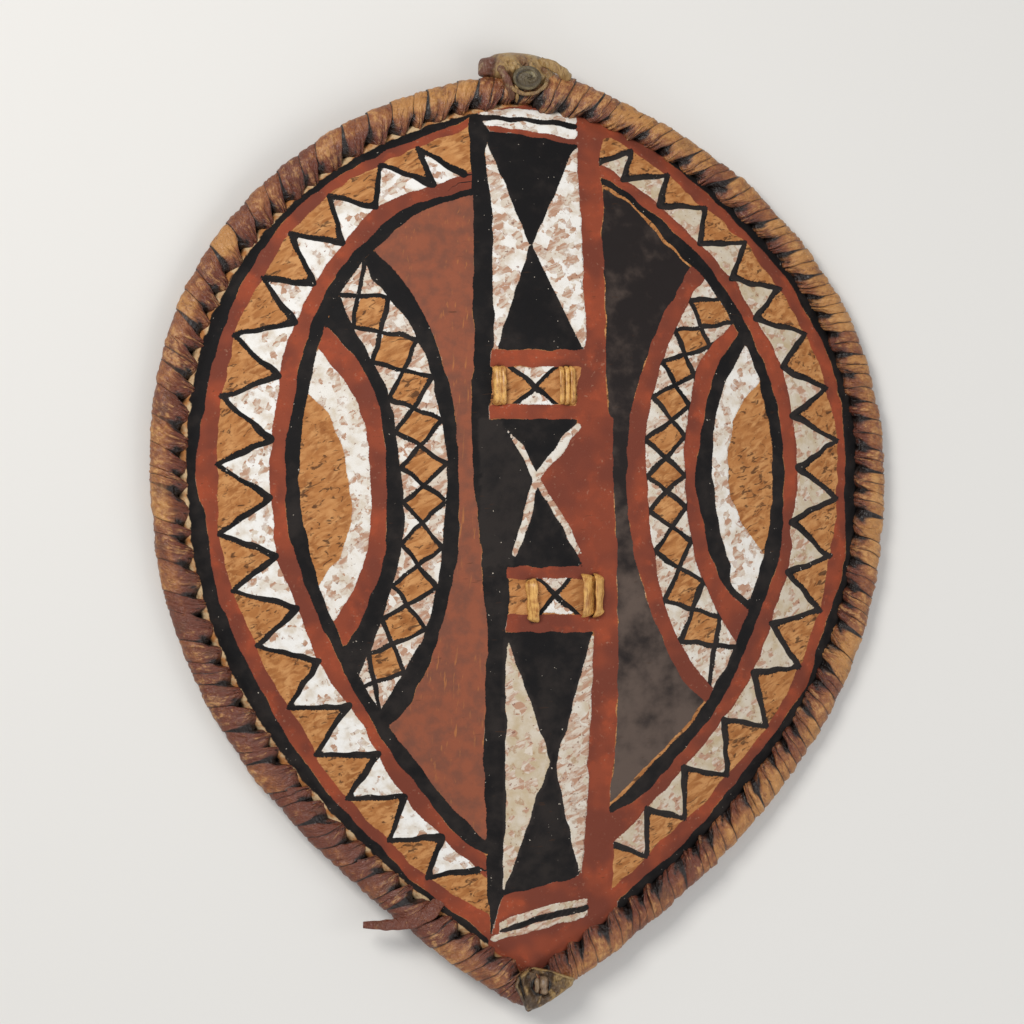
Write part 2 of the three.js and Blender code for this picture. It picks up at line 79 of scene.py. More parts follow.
Array = np.ndarray
Vector3 = tuple[float, float, float]
Points2 = tuple[tuple[float, float], ...]
Points3 = tuple[Vector3, ...]


# Small numeric helpers


def clamp(value: Array | float) -> Array | float:
    """The value, kept between 0 and 1."""
    return np.clip(value, 0.0, 1.0)


def smooth(share: Array | float) -> Array | float:
    """Eases from 0 to 1 as share goes from 0 to 1."""
    k = clamp(share)
    return k * k * (3.0 - 2.0 * k)


def mix(a, b, share):
    """Goes from a to b in a straight line as share goes from 0 to 1."""
    return a + (b - a) * share


def bell(distance: Array, reach: float) -> Array:
    """One at distance 0, fading to nothing past about twice the reach."""
    return np.exp(-((distance / reach) ** 2))


def humps(place: Array, table: Points3) -> Array:
    """A sum of bells, each given by its place, reach and height."""
    return sum(height * bell(place - centre, reach) for centre, reach, height in table)


def ripples(points: Array, size: float, seed: int, waves: int = 14) -> Array:
    """Smooth noise of about unit spread: the sum of sine waves in random directions.

    Args:
        points: Places, one row each.
        size: Length of a typical wave.
        seed: Seed of the directions and phases.
        waves: Number of waves.

    Returns:
        One value for each place.
    """
    random = np.random.default_rng(seed)
    ways = random.normal(size=(points.shape[1], waves))
    ways /= np.linalg.norm(ways, axis=0)
    lengths = size * random.uniform(0.6, 1.7, waves)
    phases = random.uniform(0.0, 2.0 * np.pi, waves)
    return np.sin(points @ (ways * 2.0 * np.pi / lengths) + phases).sum(axis=1) / np.sqrt(waves / 2.0)


def unit(vectors: Array) -> Array:
    """Scales each vector of the last axis to length one."""
    return vectors / np.maximum(np.linalg.norm(vectors, axis=-1, keepdims=True), 1e-9)


def full_turn(count: int) -> Array:
    """Count even angles once round, in radians."""
    return np.arange(count) * 2.0 * np.pi / count


def from_ends(count: int) -> Array:
    """For each of count rings in a row, how many lie between it and the nearer end."""
    return np.minimum(np.arange(count), np.arange(count)[::-1])


def place_object(name: str, data: bpy.types.ID) -> bpy.types.Object:
    """Puts a new object with the given data into the scene.

    Args:
        name: Name of the object.
        data: Its mesh, light or camera.

    Returns:
        The object.
    """
    thing = bpy.data.objects.new(name, data)
    bpy.context.scene.collection.objects.link(thing)
    return thing


# Closed meshes


@dataclass
class Shell:
    """Closed surfaces in millimetres, with values that the materials read.

    Attributes:
        points: One row for each point.
        quads: Faces with four corners.
        triangles: Faces with three corners.
        values: Named values, one number for each point.
        slots: Material slot of each face, the quads first.
    """

    points: Array
    quads: Array
    triangles: Array = field(default_factory=lambda: np.zeros((0, 3), int))
    values: dict[str, Array] = field(default_factory=dict)
    slots: Array | None = None

    def volume(self) -> float:
        """Volume inside the faces, negative where they point inwards."""
        corners = [self.triangles, self.quads[:, [0, 1, 2]], self.quads[:, [0, 2, 3]]]
        a, b, c = (self.points[np.concatenate(corners)[:, k]] for k in range(3))
        return float(np.einsum("ij,ij->i", a, np.cross(b, c)).sum() / 6.0)

    def outward(self) -> "Shell":
        """The same surface with its faces pointing out."""
        if self.volume() < 0.0:
            self.quads = self.quads[:, ::-1]
            self.triangles = self.triangles[:, ::-1]
        return self

    @staticmethod
    def joined(shells: list["Shell"]) -> "Shell":
        """All the given surfaces as one."""
        starts = np.cumsum([0] + [len(s.points) for s in shells])
        names = shells[0].values
        return Shell(
            np.concatenate([s.points for s in shells]),
            np.concatenate([s.quads + n for s, n in zip(shells, starts)]),
            np.concatenate([s.triangles + n for s, n in zip(shells, starts)]),
            {name: np.concatenate([s.values[name] for s in shells]) for name in names},
        )


def grid_quads(rows: int, columns: int, closed_rows: bool, closed_columns: bool) -> Array:
    """Faces of a grid that is stored row by row.

    Args:
        rows: Number of rows.
        columns: Points in a row.
        closed_rows: Whether the last row joins the first.
        closed_columns: Whether a row's last point joins its first.

    Returns:
        Four point numbers for each face.
    """
    r = np.arange(rows if closed_rows else rows - 1)[:, None]
    c = np.arange(columns if closed_columns else columns - 1)[None, :]
    next_r = (r + 1) % rows
    next_c = (c + 1) % columns
    corners = [r * columns + c, r * columns + next_c, next_r * columns + next_c, next_r * columns + c]
    return np.stack(corners, axis=-1).reshape(-1, 4)


def loft(rings: Array, values: dict[str, Array] | None = None, closed: bool = False) -> Shell:
    """Joins rings of points into one closed surface, with a pole at each end unless it closes.

    Args:
        rings: Points by ring, place round it, and axis.
        values: Named values by ring and place round it.
        closed: Whether the last ring joins the first.

    Returns:
        The surface.
    """
    count, size, _ = rings.shape
    points = rings.reshape(-1, 3)
    flat = {name: array.reshape(-1) for name, array in (values or {}).items()}
    quads = grid_quads(count, size, closed, True)
    if closed:
        return Shell(points, quads, values=flat).outward()
    ends = np.array([rings[0].mean(axis=0), rings[-1].mean(axis=0)])
    a = np.arange(size)
    b = (a + 1) % size
    first = np.stack([np.full(size, count * size), b, a], axis=-1)
    last = np.stack([np.full(size, count * size + 1), a + (count - 1) * size, b + (count - 1) * size], axis=-1)
    poles = {name: [array[:size].mean(), array[-size:].mean()] for name, array in flat.items()}
    flat = {name: np.concatenate([array, poles[name]]) for name, array in flat.items()}
    return Shell(np.concatenate([points, ends]), quads, np.concatenate([first, last]), flat).outward()


def strand(path: Array, up: Array, half_width: Array, half_thickness: Array,
           sides: int = 14, closed: bool = False, groove: float = 0.0, seed: int = 0) -> Shell:
    """An oval thong along a path: each ring is half_width * cos across and half_thickness * sin up.

    Args:
        path: Centre of each ring.
        up: Way that the flat face looks at each ring.
        half_width: Half width at each ring.
        half_thickness: Half thickness at each ring.
        sides: Points round a ring.
        closed: Whether the path is a loop.
        groove: Depth of the lengthwise grooves.
        seed: Seed of the grooves.

    Returns:
        The surface.
    """
    if closed:
        along = unit(np.roll(path, -1, axis=0) - np.roll(path, 1, axis=0))
    else:
        along = unit(np.gradient(path, axis=0))
    across = unit(np.cross(along, up))
    normal = np.cross(across, along)
    turn = full_turn(sides)
    random = np.random.default_rng(seed)
    relief = 1.0 - groove * np.abs(np.sin(turn * 2.0 + random.uniform(0, 3)))
    rings = (path[:, None, :]
             + (half_width[:, None] * np.cos(turn) * relief)[..., None] * across[:, None, :]
             + (half_thickness[:, None] * np.sin(turn) * relief)[..., None] * normal[:, None, :])
    return loft(rings, closed=closed)


def leathery(piece: Shell, crease: Array | float, tone: Array | float,
             crest: Array | float) -> Shell:
    """Gives a surface the values of the binding leather, laid across and along the plan.

    Args:
        piece: The surface.
        crease: Depth in a fold, from 0 to 1, which the material paints as shade.
        tone: How golden it is, from 0 to 1; on the rim, cap and patch it also carries painted light and shade.
        crest: How far it stands out, from 0 to 1, which the material paints as a highlight.

    Returns:
        The same surface.
    """
    x, y, z = piece.points.T
    numbers = {"crease": crease, "tone": tone, "crest": crest, "inner": 0.4,
               "along": x + 0.4 * z, "girth": y - z}
    piece.values = {name: np.array(np.broadcast_to(value, x.shape), float) for name, value in numbers.items()}
    return piece


def resampled(path: Array, count: int, to_end: bool) -> Array:
    """Count points the same distance apart along a path, up to its last point or just short of it.

    Args:
        path: Points of the path.
        count: Number of points wanted.
        to_end: Whether the last of them is the path's last point.

    Returns:
        The new points.
    """
    lengths = np.concatenate([[0.0], np.cumsum(np.linalg.norm(np.diff(path, axis=0), axis=1))])
    places = np.linspace(0.0, lengths[-1], count, endpoint=to_end)
    return np.column_stack([np.interp(places, lengths, path[:, k]) for k in range(path.shape[1])])


def rounded(path: Array, count: int, passes: int, closed: bool) -> Array:
    """Resamples a path of straight runs and rounds its corners by averaging neighbours.

    Args:
        path: Corners of the path.
        count: Number of points wanted.
        passes: How often the points are averaged.
        closed: Whether the path is a loop.

    Returns:
        The new points.
    """
    dense = resampled(np.concatenate([path, path[:1]]) if closed else path, count, not closed)
    for _ in range(passes):
        if closed:
            dense = (np.roll(dense, 1, axis=0) + dense + np.roll(dense, -1, axis=0)) / 3.0
        else:
            dense[1:-1] = (dense[:-2] + dense[1:-1] + dense[2:]) / 3.0
    return dense


# The form that every piece is fitted to


@dataclass(frozen=True)
class Quarter:
    """A quarter of the rim's outer edge: (x / width) ^ (1 / rounding) + (y / height) ^ power = 1."""

    width: float
    height: float
    power: float
    rounding: float
    samples: int = 401

    def points(self, from_tip: bool) -> Array:
        """Points from the widest level to the tip, or the other way."""
        turn = np.linspace(0.0, np.pi / 2.0, self.samples)
        if from_tip:
            turn = turn[::-1]
        across = self.width * clamp(np.cos(turn)) ** (2.0 * self.rounding)
        return np.column_stack([across, self.height * np.sin(turn) ** (2.0 / self.power)])


@dataclass
class ShieldForm:
    """The plan of the rim and the dome of the hide, in millimetres from the widest level."""

    lower_right: Quarter = Quarter(333, -492, 2.44, 1.04)
    upper_right: Quarter = Quarter(333, 352, 2.04, 0.66)
    upper_left: Quarter = Quarter(-339, 352, 2.29, 0.56)
    lower_left: Quarter = Quarter(-339, -492, 2.23, 0.98)
    turns: int = 104
    steps_per_turn: int = 12
    smoothing: tuple[int, int] = (13, 6)
    half_width: float = 15.5
    half_height: float = 13.0
    slant: float = 0.6
    hide_inset: float = 3.0
    hide_thickness: float = 7.0
    dome_rise: float = 88.0
    dome_powers: tuple[float, float] = (1.9, 2.3)
    tip_lift_power: float = 4.0
    upper_lift: tuple[float, float] = (10.0, 160.0)
    lower_lift: tuple[float, float] = (14.0, 230.0)

    def __post_init__(self) -> None:
        """Works out the rim's middle line, its outward normals and the hide's edge by angle."""
        half = self.turns * self.steps_per_turn // 2
        right = np.concatenate([self.lower_right.points(True), self.upper_right.points(False)[1:]])
        left = np.concatenate([self.upper_left.points(True), self.lower_left.points(False)[1:]])
        edge = np.concatenate([resampled(right, half, False), resampled(left, half, False)])
        for reach in self.smoothing:
            edge = sum(np.roll(edge, k, axis=0) for k in range(-reach, reach + 1)) / (2 * reach + 1)
        way = np.roll(edge, -2, axis=0) - np.roll(edge, 2, axis=0)
        self.normals = unit(np.column_stack([way[:, 1], -way[:, 0]]))
        self.centre = edge - self.half_width * self.normals
        hide = self.centre - self.hide_inset * self.normals
        angle = np.arctan2(hide[:, 1], hide[:, 0])
        order = np.argsort(angle)
        self.edge_angles = angle[order]
        self.edge_radii = np.hypot(hide[order, 0], hide[order, 1])
        self.edge_levels = self.half_height + self.tip_lift(hide[order, 1])

    def tip_lift(self, y: Array) -> Array:
        """How far the rim stands up towards the two ends."""
        rise, start = self.upper_lift
        upper = rise * smooth((y - start) / (self.upper_right.height - start))
        rise, start = self.lower_lift
        lower = rise * smooth((-y - start) / (-self.lower_right.height - start))
        return np.where(y > 0.0, upper, lower)

    def rim_point(self, turn: Array, u: Array, v: Array) -> Array:
        """A point of the rim's cross-section.

        Args:
            turn: Place along the rim in laps, from the lower point.
            u: Distance outwards from the middle line.
            v: Distance upwards from it.

        Returns:
            Points, with the axes last.
        """
        step = np.mod(turn, self.turns) * self.steps_per_turn
        low = np.floor(step).astype(int) % len(self.centre)
        high = (low + 1) % len(self.centre)
        share = (step - np.floor(step))[..., None]
        centre = mix(self.centre[low], self.centre[high], share)
        normal = mix(self.normals[low], self.normals[high], share)
        plan = centre + u[..., None] * normal
        return np.concatenate([plan, (self.half_height + self.tip_lift(plan[..., 1]) + v)[..., None]], axis=-1)

    def edge_at(self, angle: Array) -> tuple[Array, Array]:
        """Radius and level of the hide's edge in the direction of an angle."""
        whole = 2.0 * np.pi
        return (np.interp(angle, self.edge_angles, self.edge_radii, period=whole),
                np.interp(angle, self.edge_angles, self.edge_levels, period=whole))

    def rim_distance(self, points: Array) -> tuple[Array, Array]:
        """Distance from the rim's middle line and the nearest place along it.

        Args:
            points: Places, one row each, whose first two numbers count.

        Returns:
            The distance, FAR_FROM_RIM where it is greater, and the place in laps.
        """
        distance = np.full(len(points), FAR_FROM_RIM)
        place = np.zeros(len(points))
        radius, _ = self.edge_at(np.arctan2(points[:, 1], points[:, 0]))
        near = np.flatnonzero(np.hypot(points[:, 0], points[:, 1]) > radius - FAR_FROM_RIM + 5.0)
        for part in np.array_split(near, 12):
            gaps = np.linalg.norm(points[part, None, :2] - self.centre[None, :, :], axis=2)
            distance[part] = gaps.min(axis=1)
            place[part] = gaps.argmin(axis=1) / self.steps_per_turn
        return distance, place

    def dome_height(self, x: Array, y: Array) -> Array:
        """Height of the middle of the hide over a point of the plan.

        The rise falls off as 1 - share ^ power, where share is the distance from the widest level as
        a part of the way to the edge, and the lift of the edge comes in as share ^ tip_lift_power.

        Args:
            x: Place across.
            y: Place along.

        Returns:
            Height over the widest level's plane.
        """
        angle = np.arctan2(y, x)
        radius, level = self.edge_at(angle)
        share = np.hypot(x, y) / radius
        power = mix(*self.dome_powers, np.sin(angle) ** 2)
        lift = (level - self.half_height) * share ** self.tip_lift_power
        return self.half_height + lift + self.dome_rise * (1.0 - share ** power)

    def dome_normal(self, x: Array, y: Array, step: float = 2.0) -> Array:
        """Outward normal of the dome over a point of the plan."""
        across = (self.dome_height(x - step, y) - self.dome_height(x + step, y)) / (2.0 * step)
        along = (self.dome_height(x, y - step) - self.dome_height(x, y + step)) / (2.0 * step)
        return unit(np.stack([across, along, np.ones_like(across)], axis=-1))


@dataclass(frozen=True)
class PhotoView:
    """The camera, which looks down on the face from a little to the left."""

    target: Vector3 = (-13.7, -41.4, 13.0)
    distance: float = 3000.0
    lean_degrees: float = 10.0
    lens: float = 117.19
    sensor: float = 36.0

    def axes(self) -> tuple[Array, Array, Array]:
        """Right, up and backward directions of the picture."""
        lean = np.radians(self.lean_degrees)
        right = np.array([np.cos(lean), 0.0, np.sin(lean)])
        backward = np.array([-np.sin(lean), 0.0, np.cos(lean)])
        return right, np.array([0.0, 1.0, 0.0]), backward

    def seen_at(self, points: Array) -> tuple[Array, Array]:
        """Where points show in the picture, in millimetres at the target's depth."""
        right, up, backward = self.axes()
        d = points - np.array(self.target)
        scale = self.distance / (self.distance - d @ backward)
        return (d @ right) * scale, (d @ up) * scale

    def add_camera(self) -> None:
        """Makes the camera and gives it to the scene."""
        right, up, backward = self.axes()
        data = bpy.data.cameras.new("photo_camera")
        data.lens = self.lens
        data.sensor_width = self.sensor
        camera = place_object("photo_camera", data)
        place = (np.array(self.target) + np.array(WIDEST_PLACE) + self.distance * backward) * MM
        turn = Matrix([right, up, backward]).transposed()
        camera.matrix_world = Matrix.Translation(Vector(place)) @ turn.to_4x4()
        bpy.context.scene.camera = camera


# The painted pattern


class Paint(Enum):
    """The colours of the painted face. The value is the name of the mesh attribute."""

    OCHRE = "paint_ochre"
    RED = "paint_red"
    BROWN = "paint_brown"
    DUSK = "paint_dusk"
    BLACK = "paint_black"
    WHITE = "paint_white"


# Colour, points, widths, wear and grime of one brush stroke
Stripe = tuple[Paint, Points2, tuple[float, ...], float | None, float]


@dataclass(frozen=True)
class Arc:
    """A painted edge from its tip to its toe, given by its place across at each level it crosses."""

    across: tuple[float, ...]
    first: int = -1
    tip: tuple[float, float] | None = None
    toe: tuple[float, float] | None = None
    run_on: float = 150.0
    spacing: float = 2.0

    def line(self) -> tuple[Array, Array]:
        """Height and place across along a smooth curve through the points, run on straight past both ends."""
        v = TOP_LEVEL - LEVEL_STEP * (self.first + np.arange(len(self.across)))
        u = np.array(self.across, float)
        for end, place in ((self.tip, 0), (self.toe, len(self.across))):
            if end is not None:
                v = np.insert(v, place if place == 0 else len(v), end[1])
                u = np.insert(u, place if place == 0 else len(u), end[0])
        v, u = v[::-1], u[::-1]
        gap = np.diff(v)
        rate = np.diff(u) / gap
        slope = np.empty_like(u)
        slope[1:-1] = (gap[1:] * rate[:-1] + gap[:-1] * rate[1:]) / (gap[1:] + gap[:-1])
        slope[0] = rate[0]
        slope[-1] = rate[-1]
        fine = np.arange(v[0], v[-1], self.spacing)
        k = np.clip(np.searchsorted(v, fine, side="right") - 1, 0, len(gap) - 1)
        t = (fine - v[k]) / gap[k]
        curve = ((2 * t**3 - 3 * t**2 + 1) * u[k] + (t**3 - 2 * t**2 + t) * gap[k] * slope[k]
                 + (3 * t**2 - 2 * t**3) * u[k + 1] + (t**3 - t**2) * gap[k] * slope[k + 1])
        low = (v[0] - self.run_on, u[0] - self.run_on * slope[0])
        high = (v[-1] + self.run_on, u[-1] + self.run_on * slope[-1])
        return np.concatenate([[low[0]], fine, [high[0]]]), np.concatenate([[low[1]], curve, [high[1]]])

    def at(self, v: Array | float) -> Array | float:
        """Place across at a height."""
        levels, across = self.line()
        return np.interp(v, levels, across)

    def right_of(self, u: Array, v: Array) -> Array:
        """Distance to the right of the edge, negative to its left: the step across over the edge's slope."""
        levels, across = self.line()
        slope = np.interp(v, levels, np.gradient(across, levels))
        return (u - np.interp(v, levels, across)) / np.sqrt(1.0 + slope**2)


class Canvas:
    """Lays one colour over another and keeps, for each colour, how far inside its visible area a point is.

    Thin black lines are kept apart, as signed distances from up to two crossing lines, because these stay
    exact between the points of a mesh that is hardly finer than the lines.
    """

    def __init__(self, u: Array, v: Array) -> None:
        """Starts with bare ochre at places u across and v up, in pattern millimetres.

        Args:
            u: Places across.
            v: Places up.
        """
        self.u = u
        self.v = v
        self.areas = {paint: np.full(u.shape, -NEAR) for paint in Paint}
        self.areas[Paint.OCHRE][:] = NEAR
        self.wear = np.full(u.shape, 0.3)
        self.grime = np.zeros(u.shape)
        self.lines = {"line_one": np.full(u.shape, NEAR), "line_two": np.full(u.shape, NEAR),
                      "line_half": np.full(u.shape, 2.0), "line_keep": np.full(u.shape, -NEAR)}

    def lay(self, paint: Paint, inside: Array, wear: float | None = None, grime: float = 0.0) -> None:
        """Paints the area where inside is positive.

        Args:
            paint: The colour.
            inside: Distance inside the area.
            wear: How far the paint has come off, from 0 to 1.
            grime: How dull it is, from 0 to 1.
        """
        inside = np.clip(inside, -NEAR, NEAR)
        for other, area in self.areas.items():
            if other is paint:
                np.maximum(area, inside, out=area)
            else:
                np.minimum(area, -inside, out=area)
        if wear is not None:
            self.wear = np.where(inside > -WEAR_MARGIN, wear, self.wear)
            self.grime = np.where(inside > -WEAR_MARGIN, grime, self.grime)

    def draw(self, keep: Array, half: Array | float, one: Array, two: Array | None = None) -> None:
        """Draws one or two crossing black lines inside an area.

        Args:
            keep: Distance inside the area.
            half: Half width of the lines.
            one: Signed distance from the first.
            two: Signed distance from the second.
        """
        claimed = (keep > -LINE_MARGIN) & (keep >= self.lines["line_keep"])
        second = np.full(self.u.shape, NEAR) if two is None else two
        for name, numbers in (("line_one", one), ("line_two", second), ("line_half", half)):
            self.lines[name] = np.where(claimed, numbers, self.lines[name])
        self.lines["line_keep"] = np.maximum(self.lines["line_keep"], np.clip(keep, -NEAR, NEAR))

    def right_of(self, arc: Arc) -> Array:
        """Distance to the right of a painted edge."""
        return arc.right_of(self.u, self.v)

    def between(self, left: Arc, right: Arc) -> Array:
        """Distance inside the band between two edges."""
        return np.minimum(self.right_of(left), -self.right_of(right))

    def at_level(self, upper: float, lower: float) -> Array:
        """Distance inside the strip between two level lines."""
        return np.minimum(self.v - lower, upper - self.v)

    def fill(self, paint: Paint, left: Arc | None, right: Arc | None, limit: Array,
             wear: float | None = None, grime: float = 0.0) -> None:
        """Paints the band between two edges.

        Args:
            paint: The colour.
            left: Left edge, or nothing where the band is open there.
            right: Right edge, or nothing.
            limit: Distance inside the area that the band may cover.
            wear: How far the paint has come off.
            grime: How dull it is.
        """
        if left is not None:
            limit = np.minimum(limit, self.right_of(left))
        if right is not None:
            limit = np.minimum(limit, -self.right_of(right))
        self.lay(paint, limit, wear, grime)

    def to_segment(self, a: Array, b: Array) -> tuple[Array, Array]:
        """Distance from the straight piece from a to b, and the share of the way along it."""
        way = b - a
        share = clamp(((self.u - a[0]) * way[0] + (self.v - a[1]) * way[1]) / max(way @ way, 1e-9))
        return np.hypot(self.u - a[0] - share * way[0], self.v - a[1] - share * way[1]), share

    def to_path(self, points: Points2, halves: tuple[float, ...] | float) -> tuple[Array, Array]:
        """Distance from a line of straight pieces, and its half width at the nearest place.

        Args:
            points: Corners of the line.
            halves: Half width at each corner, or everywhere.

        Returns:
            The distance and the half width.
        """
        ends = np.array(points, float)
        widths = np.broadcast_to(np.array(halves, float), len(ends))
        best = np.full(self.u.shape, FAR)
        half = np.full(self.u.shape, widths[0])
        for k in range(len(ends) - 1):
            distance, share = self.to_segment(ends[k], ends[k + 1])
            closer = distance < best
            best = np.where(closer, distance, best)
            half = np.where(closer, mix(widths[k], widths[k + 1], share), half)
        return best, half

    def within(self, corners: Points2) -> Array:
        """Whether each point lies in a polygon, by the even and odd rule."""
        ends = np.array(corners, float)
        inside = np.zeros(self.u.shape, bool)
        for a, b in zip(ends, np.roll(ends, -1, axis=0)):
            if a[1] != b[1]:
                crossed = (a[1] > self.v) != (b[1] > self.v)
                inside ^= crossed & (self.u < (b[0] - a[0]) * (self.v - a[1]) / (b[1] - a[1]) + a[0])
        return inside

    def polygon(self, corners: Points2) -> Array:
        """Distance inside a polygon, measured to its nearest side and negative outside."""
        distance, _ = self.to_path(tuple(corners) + (corners[0],), 0.0)
        return np.where(self.within(corners), distance, -distance)

    def stroke(self, points: Points2, widths: tuple[float, ...] | float) -> Array:
        """Distance inside a brush stroke through the points, whose width runs evenly from point to point."""
        distance, half = self.to_path(points, np.array(widths) / 2.0)
        return half - distance

    def family(self, starts: list[Array], ends: list[Array]) -> Array:
        """Signed distance from the nearest of several lines side by side, whose sign turns at each line.

        Args:
            starts: First end of each line.
            ends: Last end of each line.

        Returns:
            The signed distance.
        """
        best = np.full(self.u.shape, FAR)
        signed = np.full(self.u.shape, NEAR)
        for k, (a, b) in enumerate(zip(starts, ends)):
            distance, _ = self.to_segment(a, b)
            way = (b - a) / np.hypot(*(b - a))
            side = ((self.v - a[1]) * way[0] - (self.u - a[0]) * way[1]) * (-1.0) ** k
            closer = distance < best
            best = np.where(closer, distance, best)
            signed = np.where(closer, side, signed)
        return signed


@dataclass(frozen=True)
class LeftHalf:
    """Painted edges left of the middle band, from the hide's edge inwards and from the disc outwards."""

    outer_red: Arc = Arc((-130, -186, -218, -242, -257, -269, -275, -282, -284, -276, -271, -263, -249, -230,
        -212, -188, -160, -125, -90), 0, (-38, 355), (-36, -372))
    zone: Arc = Arc((-111, -170, -204, -225, -246, -255, -262, -266, -266, -265, -260, -249, -232, -218, -193,
        -174, -148, -112, -74), 0, (-38, 347), (-32, -356))
    inner_red: Arc = Arc((-110, -150, -176, -195, -208, -212, -217, -219, -215, -211, -196, -182, -165, -138,
        -119, -95, -61), 1, (-38, 306), (-31, -322))
    black_band: Arc = Arc((-74, -130, -161, -178, -190, -196, -203, -203, -202, -194, -181, -165, -147, -127,
        -104, -75, -44), 1, (-38, 290), (-24, -309))
    field: Arc = Arc((-51, -114, -147, -166, -177, -184, -190, -192, -189, -180, -169, -154, -135, -115, -88,
        -60), 1, (-38, 284), (-27, -293))
    core: Arc = Arc((-176, -155, -147, -145, -157), 6, (-183, 108), (-171, -63))
    core_white: Arc = Arc((-166, -141, -131, -128, -127, -133, -149), 5, (-175, 148), (-162, -99))
    core_red: Arc = Arc((-139, -122, -115, -113, -113, -115, -128, -146), 5, (-166, 166), (-150, -120))
    core_black: Arc = Arc((-146, -126, -109, -103, -99, -97, -102, -112, -124, -139), 4, (-149, 180), (-144,
        -164))
    lattice: Arc = Arc((-124, -94, -76, -67, -59, -58, -61, -64, -70, -81, -101), 3, (-135, 229), (-119,
        -180))
    lattice_black: Arc = Arc((-99, -77, -64, -54, -50, -48, -48, -50, -58, -67, -82, -104), 3, (-125, 238),
        (-112, -194))
    column: Arc = Arc((-38, -38, -35, -34, -35, -34, -34, -36, -36, -35, -30, -27, -25, -22, -24, -24, -25,
        -23, -23, -23, -20))
    column_right: Arc = Arc((-23, -23, -19, -17, -18, -16, -18, -19, -18, -16, -11, -4, -2, -4, -6, -5, -7,
        -6, -7, -8, -9))
    notches: tuple[float, ...] = (304, 295, 274, 242, 205, 170, 122, 66, 13, -39, -86, -134, -175, -219, -257,
        -293, -322)
    tips: tuple[float, ...] = (328, 313, 285, 250, 211, 159, 103, 43, -20, -71, -121, -176, -218, -258, -296,
        -329)
    lattice_left: tuple[float, ...] = (195, 167, 135, 102, 72, 40, 9, -28, -66, -97, -128, -160)
    lattice_right: tuple[float, ...] = (225, 193, 156, 121, 83, 43, 10, -32, -69, -106, -144, -180)


@dataclass(frozen=True)
class RightHalf:
    """Painted edges right of the middle band, from the hide's edge inwards and from the disc outwards."""

    outer_red: Arc = Arc((140, 182, 217, 248, 269, 286, 295, 299, 299, 300, 300, 290, 277, 267, 245, 217, 188,
        158, 116), 0, (86, 355), (90, -353))
    zone: Arc = Arc((121, 166, 207, 235, 257, 275, 286, 292, 292, 291, 285, 279, 267, 254, 233, 206, 175, 135,
        99), 0, (86, 338), (86, -340))
    inner_red: Arc = Arc((127, 166, 199, 220, 241, 251, 256, 258, 252, 251, 240, 229, 214, 191, 161, 130), 1,
        (83, 312), (92, -298))
    black_band: Arc = Arc((112, 154, 186, 209, 225, 237, 243, 244, 244, 239, 227, 213, 198, 176, 146, 110), 1,
        (83, 301), (85, -274))
    field: Arc = Arc((104, 138, 174, 197, 217, 226, 233, 235, 232, 226, 215, 203, 186, 164, 130, 94), 1, (81,
        295), (85, -266))
    arc_red: Arc = Arc((155, 135, 121, 110, 105, 104, 106, 112, 122, 137, 155), 3, (160, 218), (172, -169))
    lattice: Arc = Arc((173, 152, 136, 126, 121, 122, 124, 130, 137, 151, 175), 3, (180, 216), (184, -160))
    inner_arc: Arc = Arc((201, 169, 160, 156, 155, 158, 165, 179, 200), 4, (203, 175), (203, -119))
    arc_black: Arc = Arc((188, 176, 169, 166, 172, 180, 202), 5, (203, 160), (216, -92))
    arc_white: Arc = Arc((202, 187, 181, 180, 185, 195, 212), 5, (209, 148), (219, -83))
    core: Arc = Arc((208, 196, 195, 205), 6, (219, 114), (229, -41))
    column: Arc = Arc((57, 58, 61, 62, 64, 66, 64, 58, 57, 56, 55, 67, 75, 74, 72, 71, 68, 67, 65, 62, 67))
    column_right: Arc = Arc((85, 79, 82, 81, 83, 84, 84, 86, 90, 91, 93, 94, 95, 95, 94, 94, 92, 88, 92, 90,
        90))
    notches: tuple[float, ...] = (315, 300, 276, 242, 210, 174, 130, 87, 40, -8, -54, -101, -144, -187, -230,
        -268, -299)
    tips: tuple[float, ...] = (325, 303, 274, 242, 201, 161, 111, 64, 13, -40, -88, -140, -193, -238, -276,
        -310)
    lattice_left: tuple[float, ...] = (218, 190, 163, 135, 104, 65, 32, 1, -37, -80, -116, -154)
    lattice_right: tuple[float, ...] = (194, 171, 149, 123, 95, 68, 34, 5, -26, -63, -94, -122)


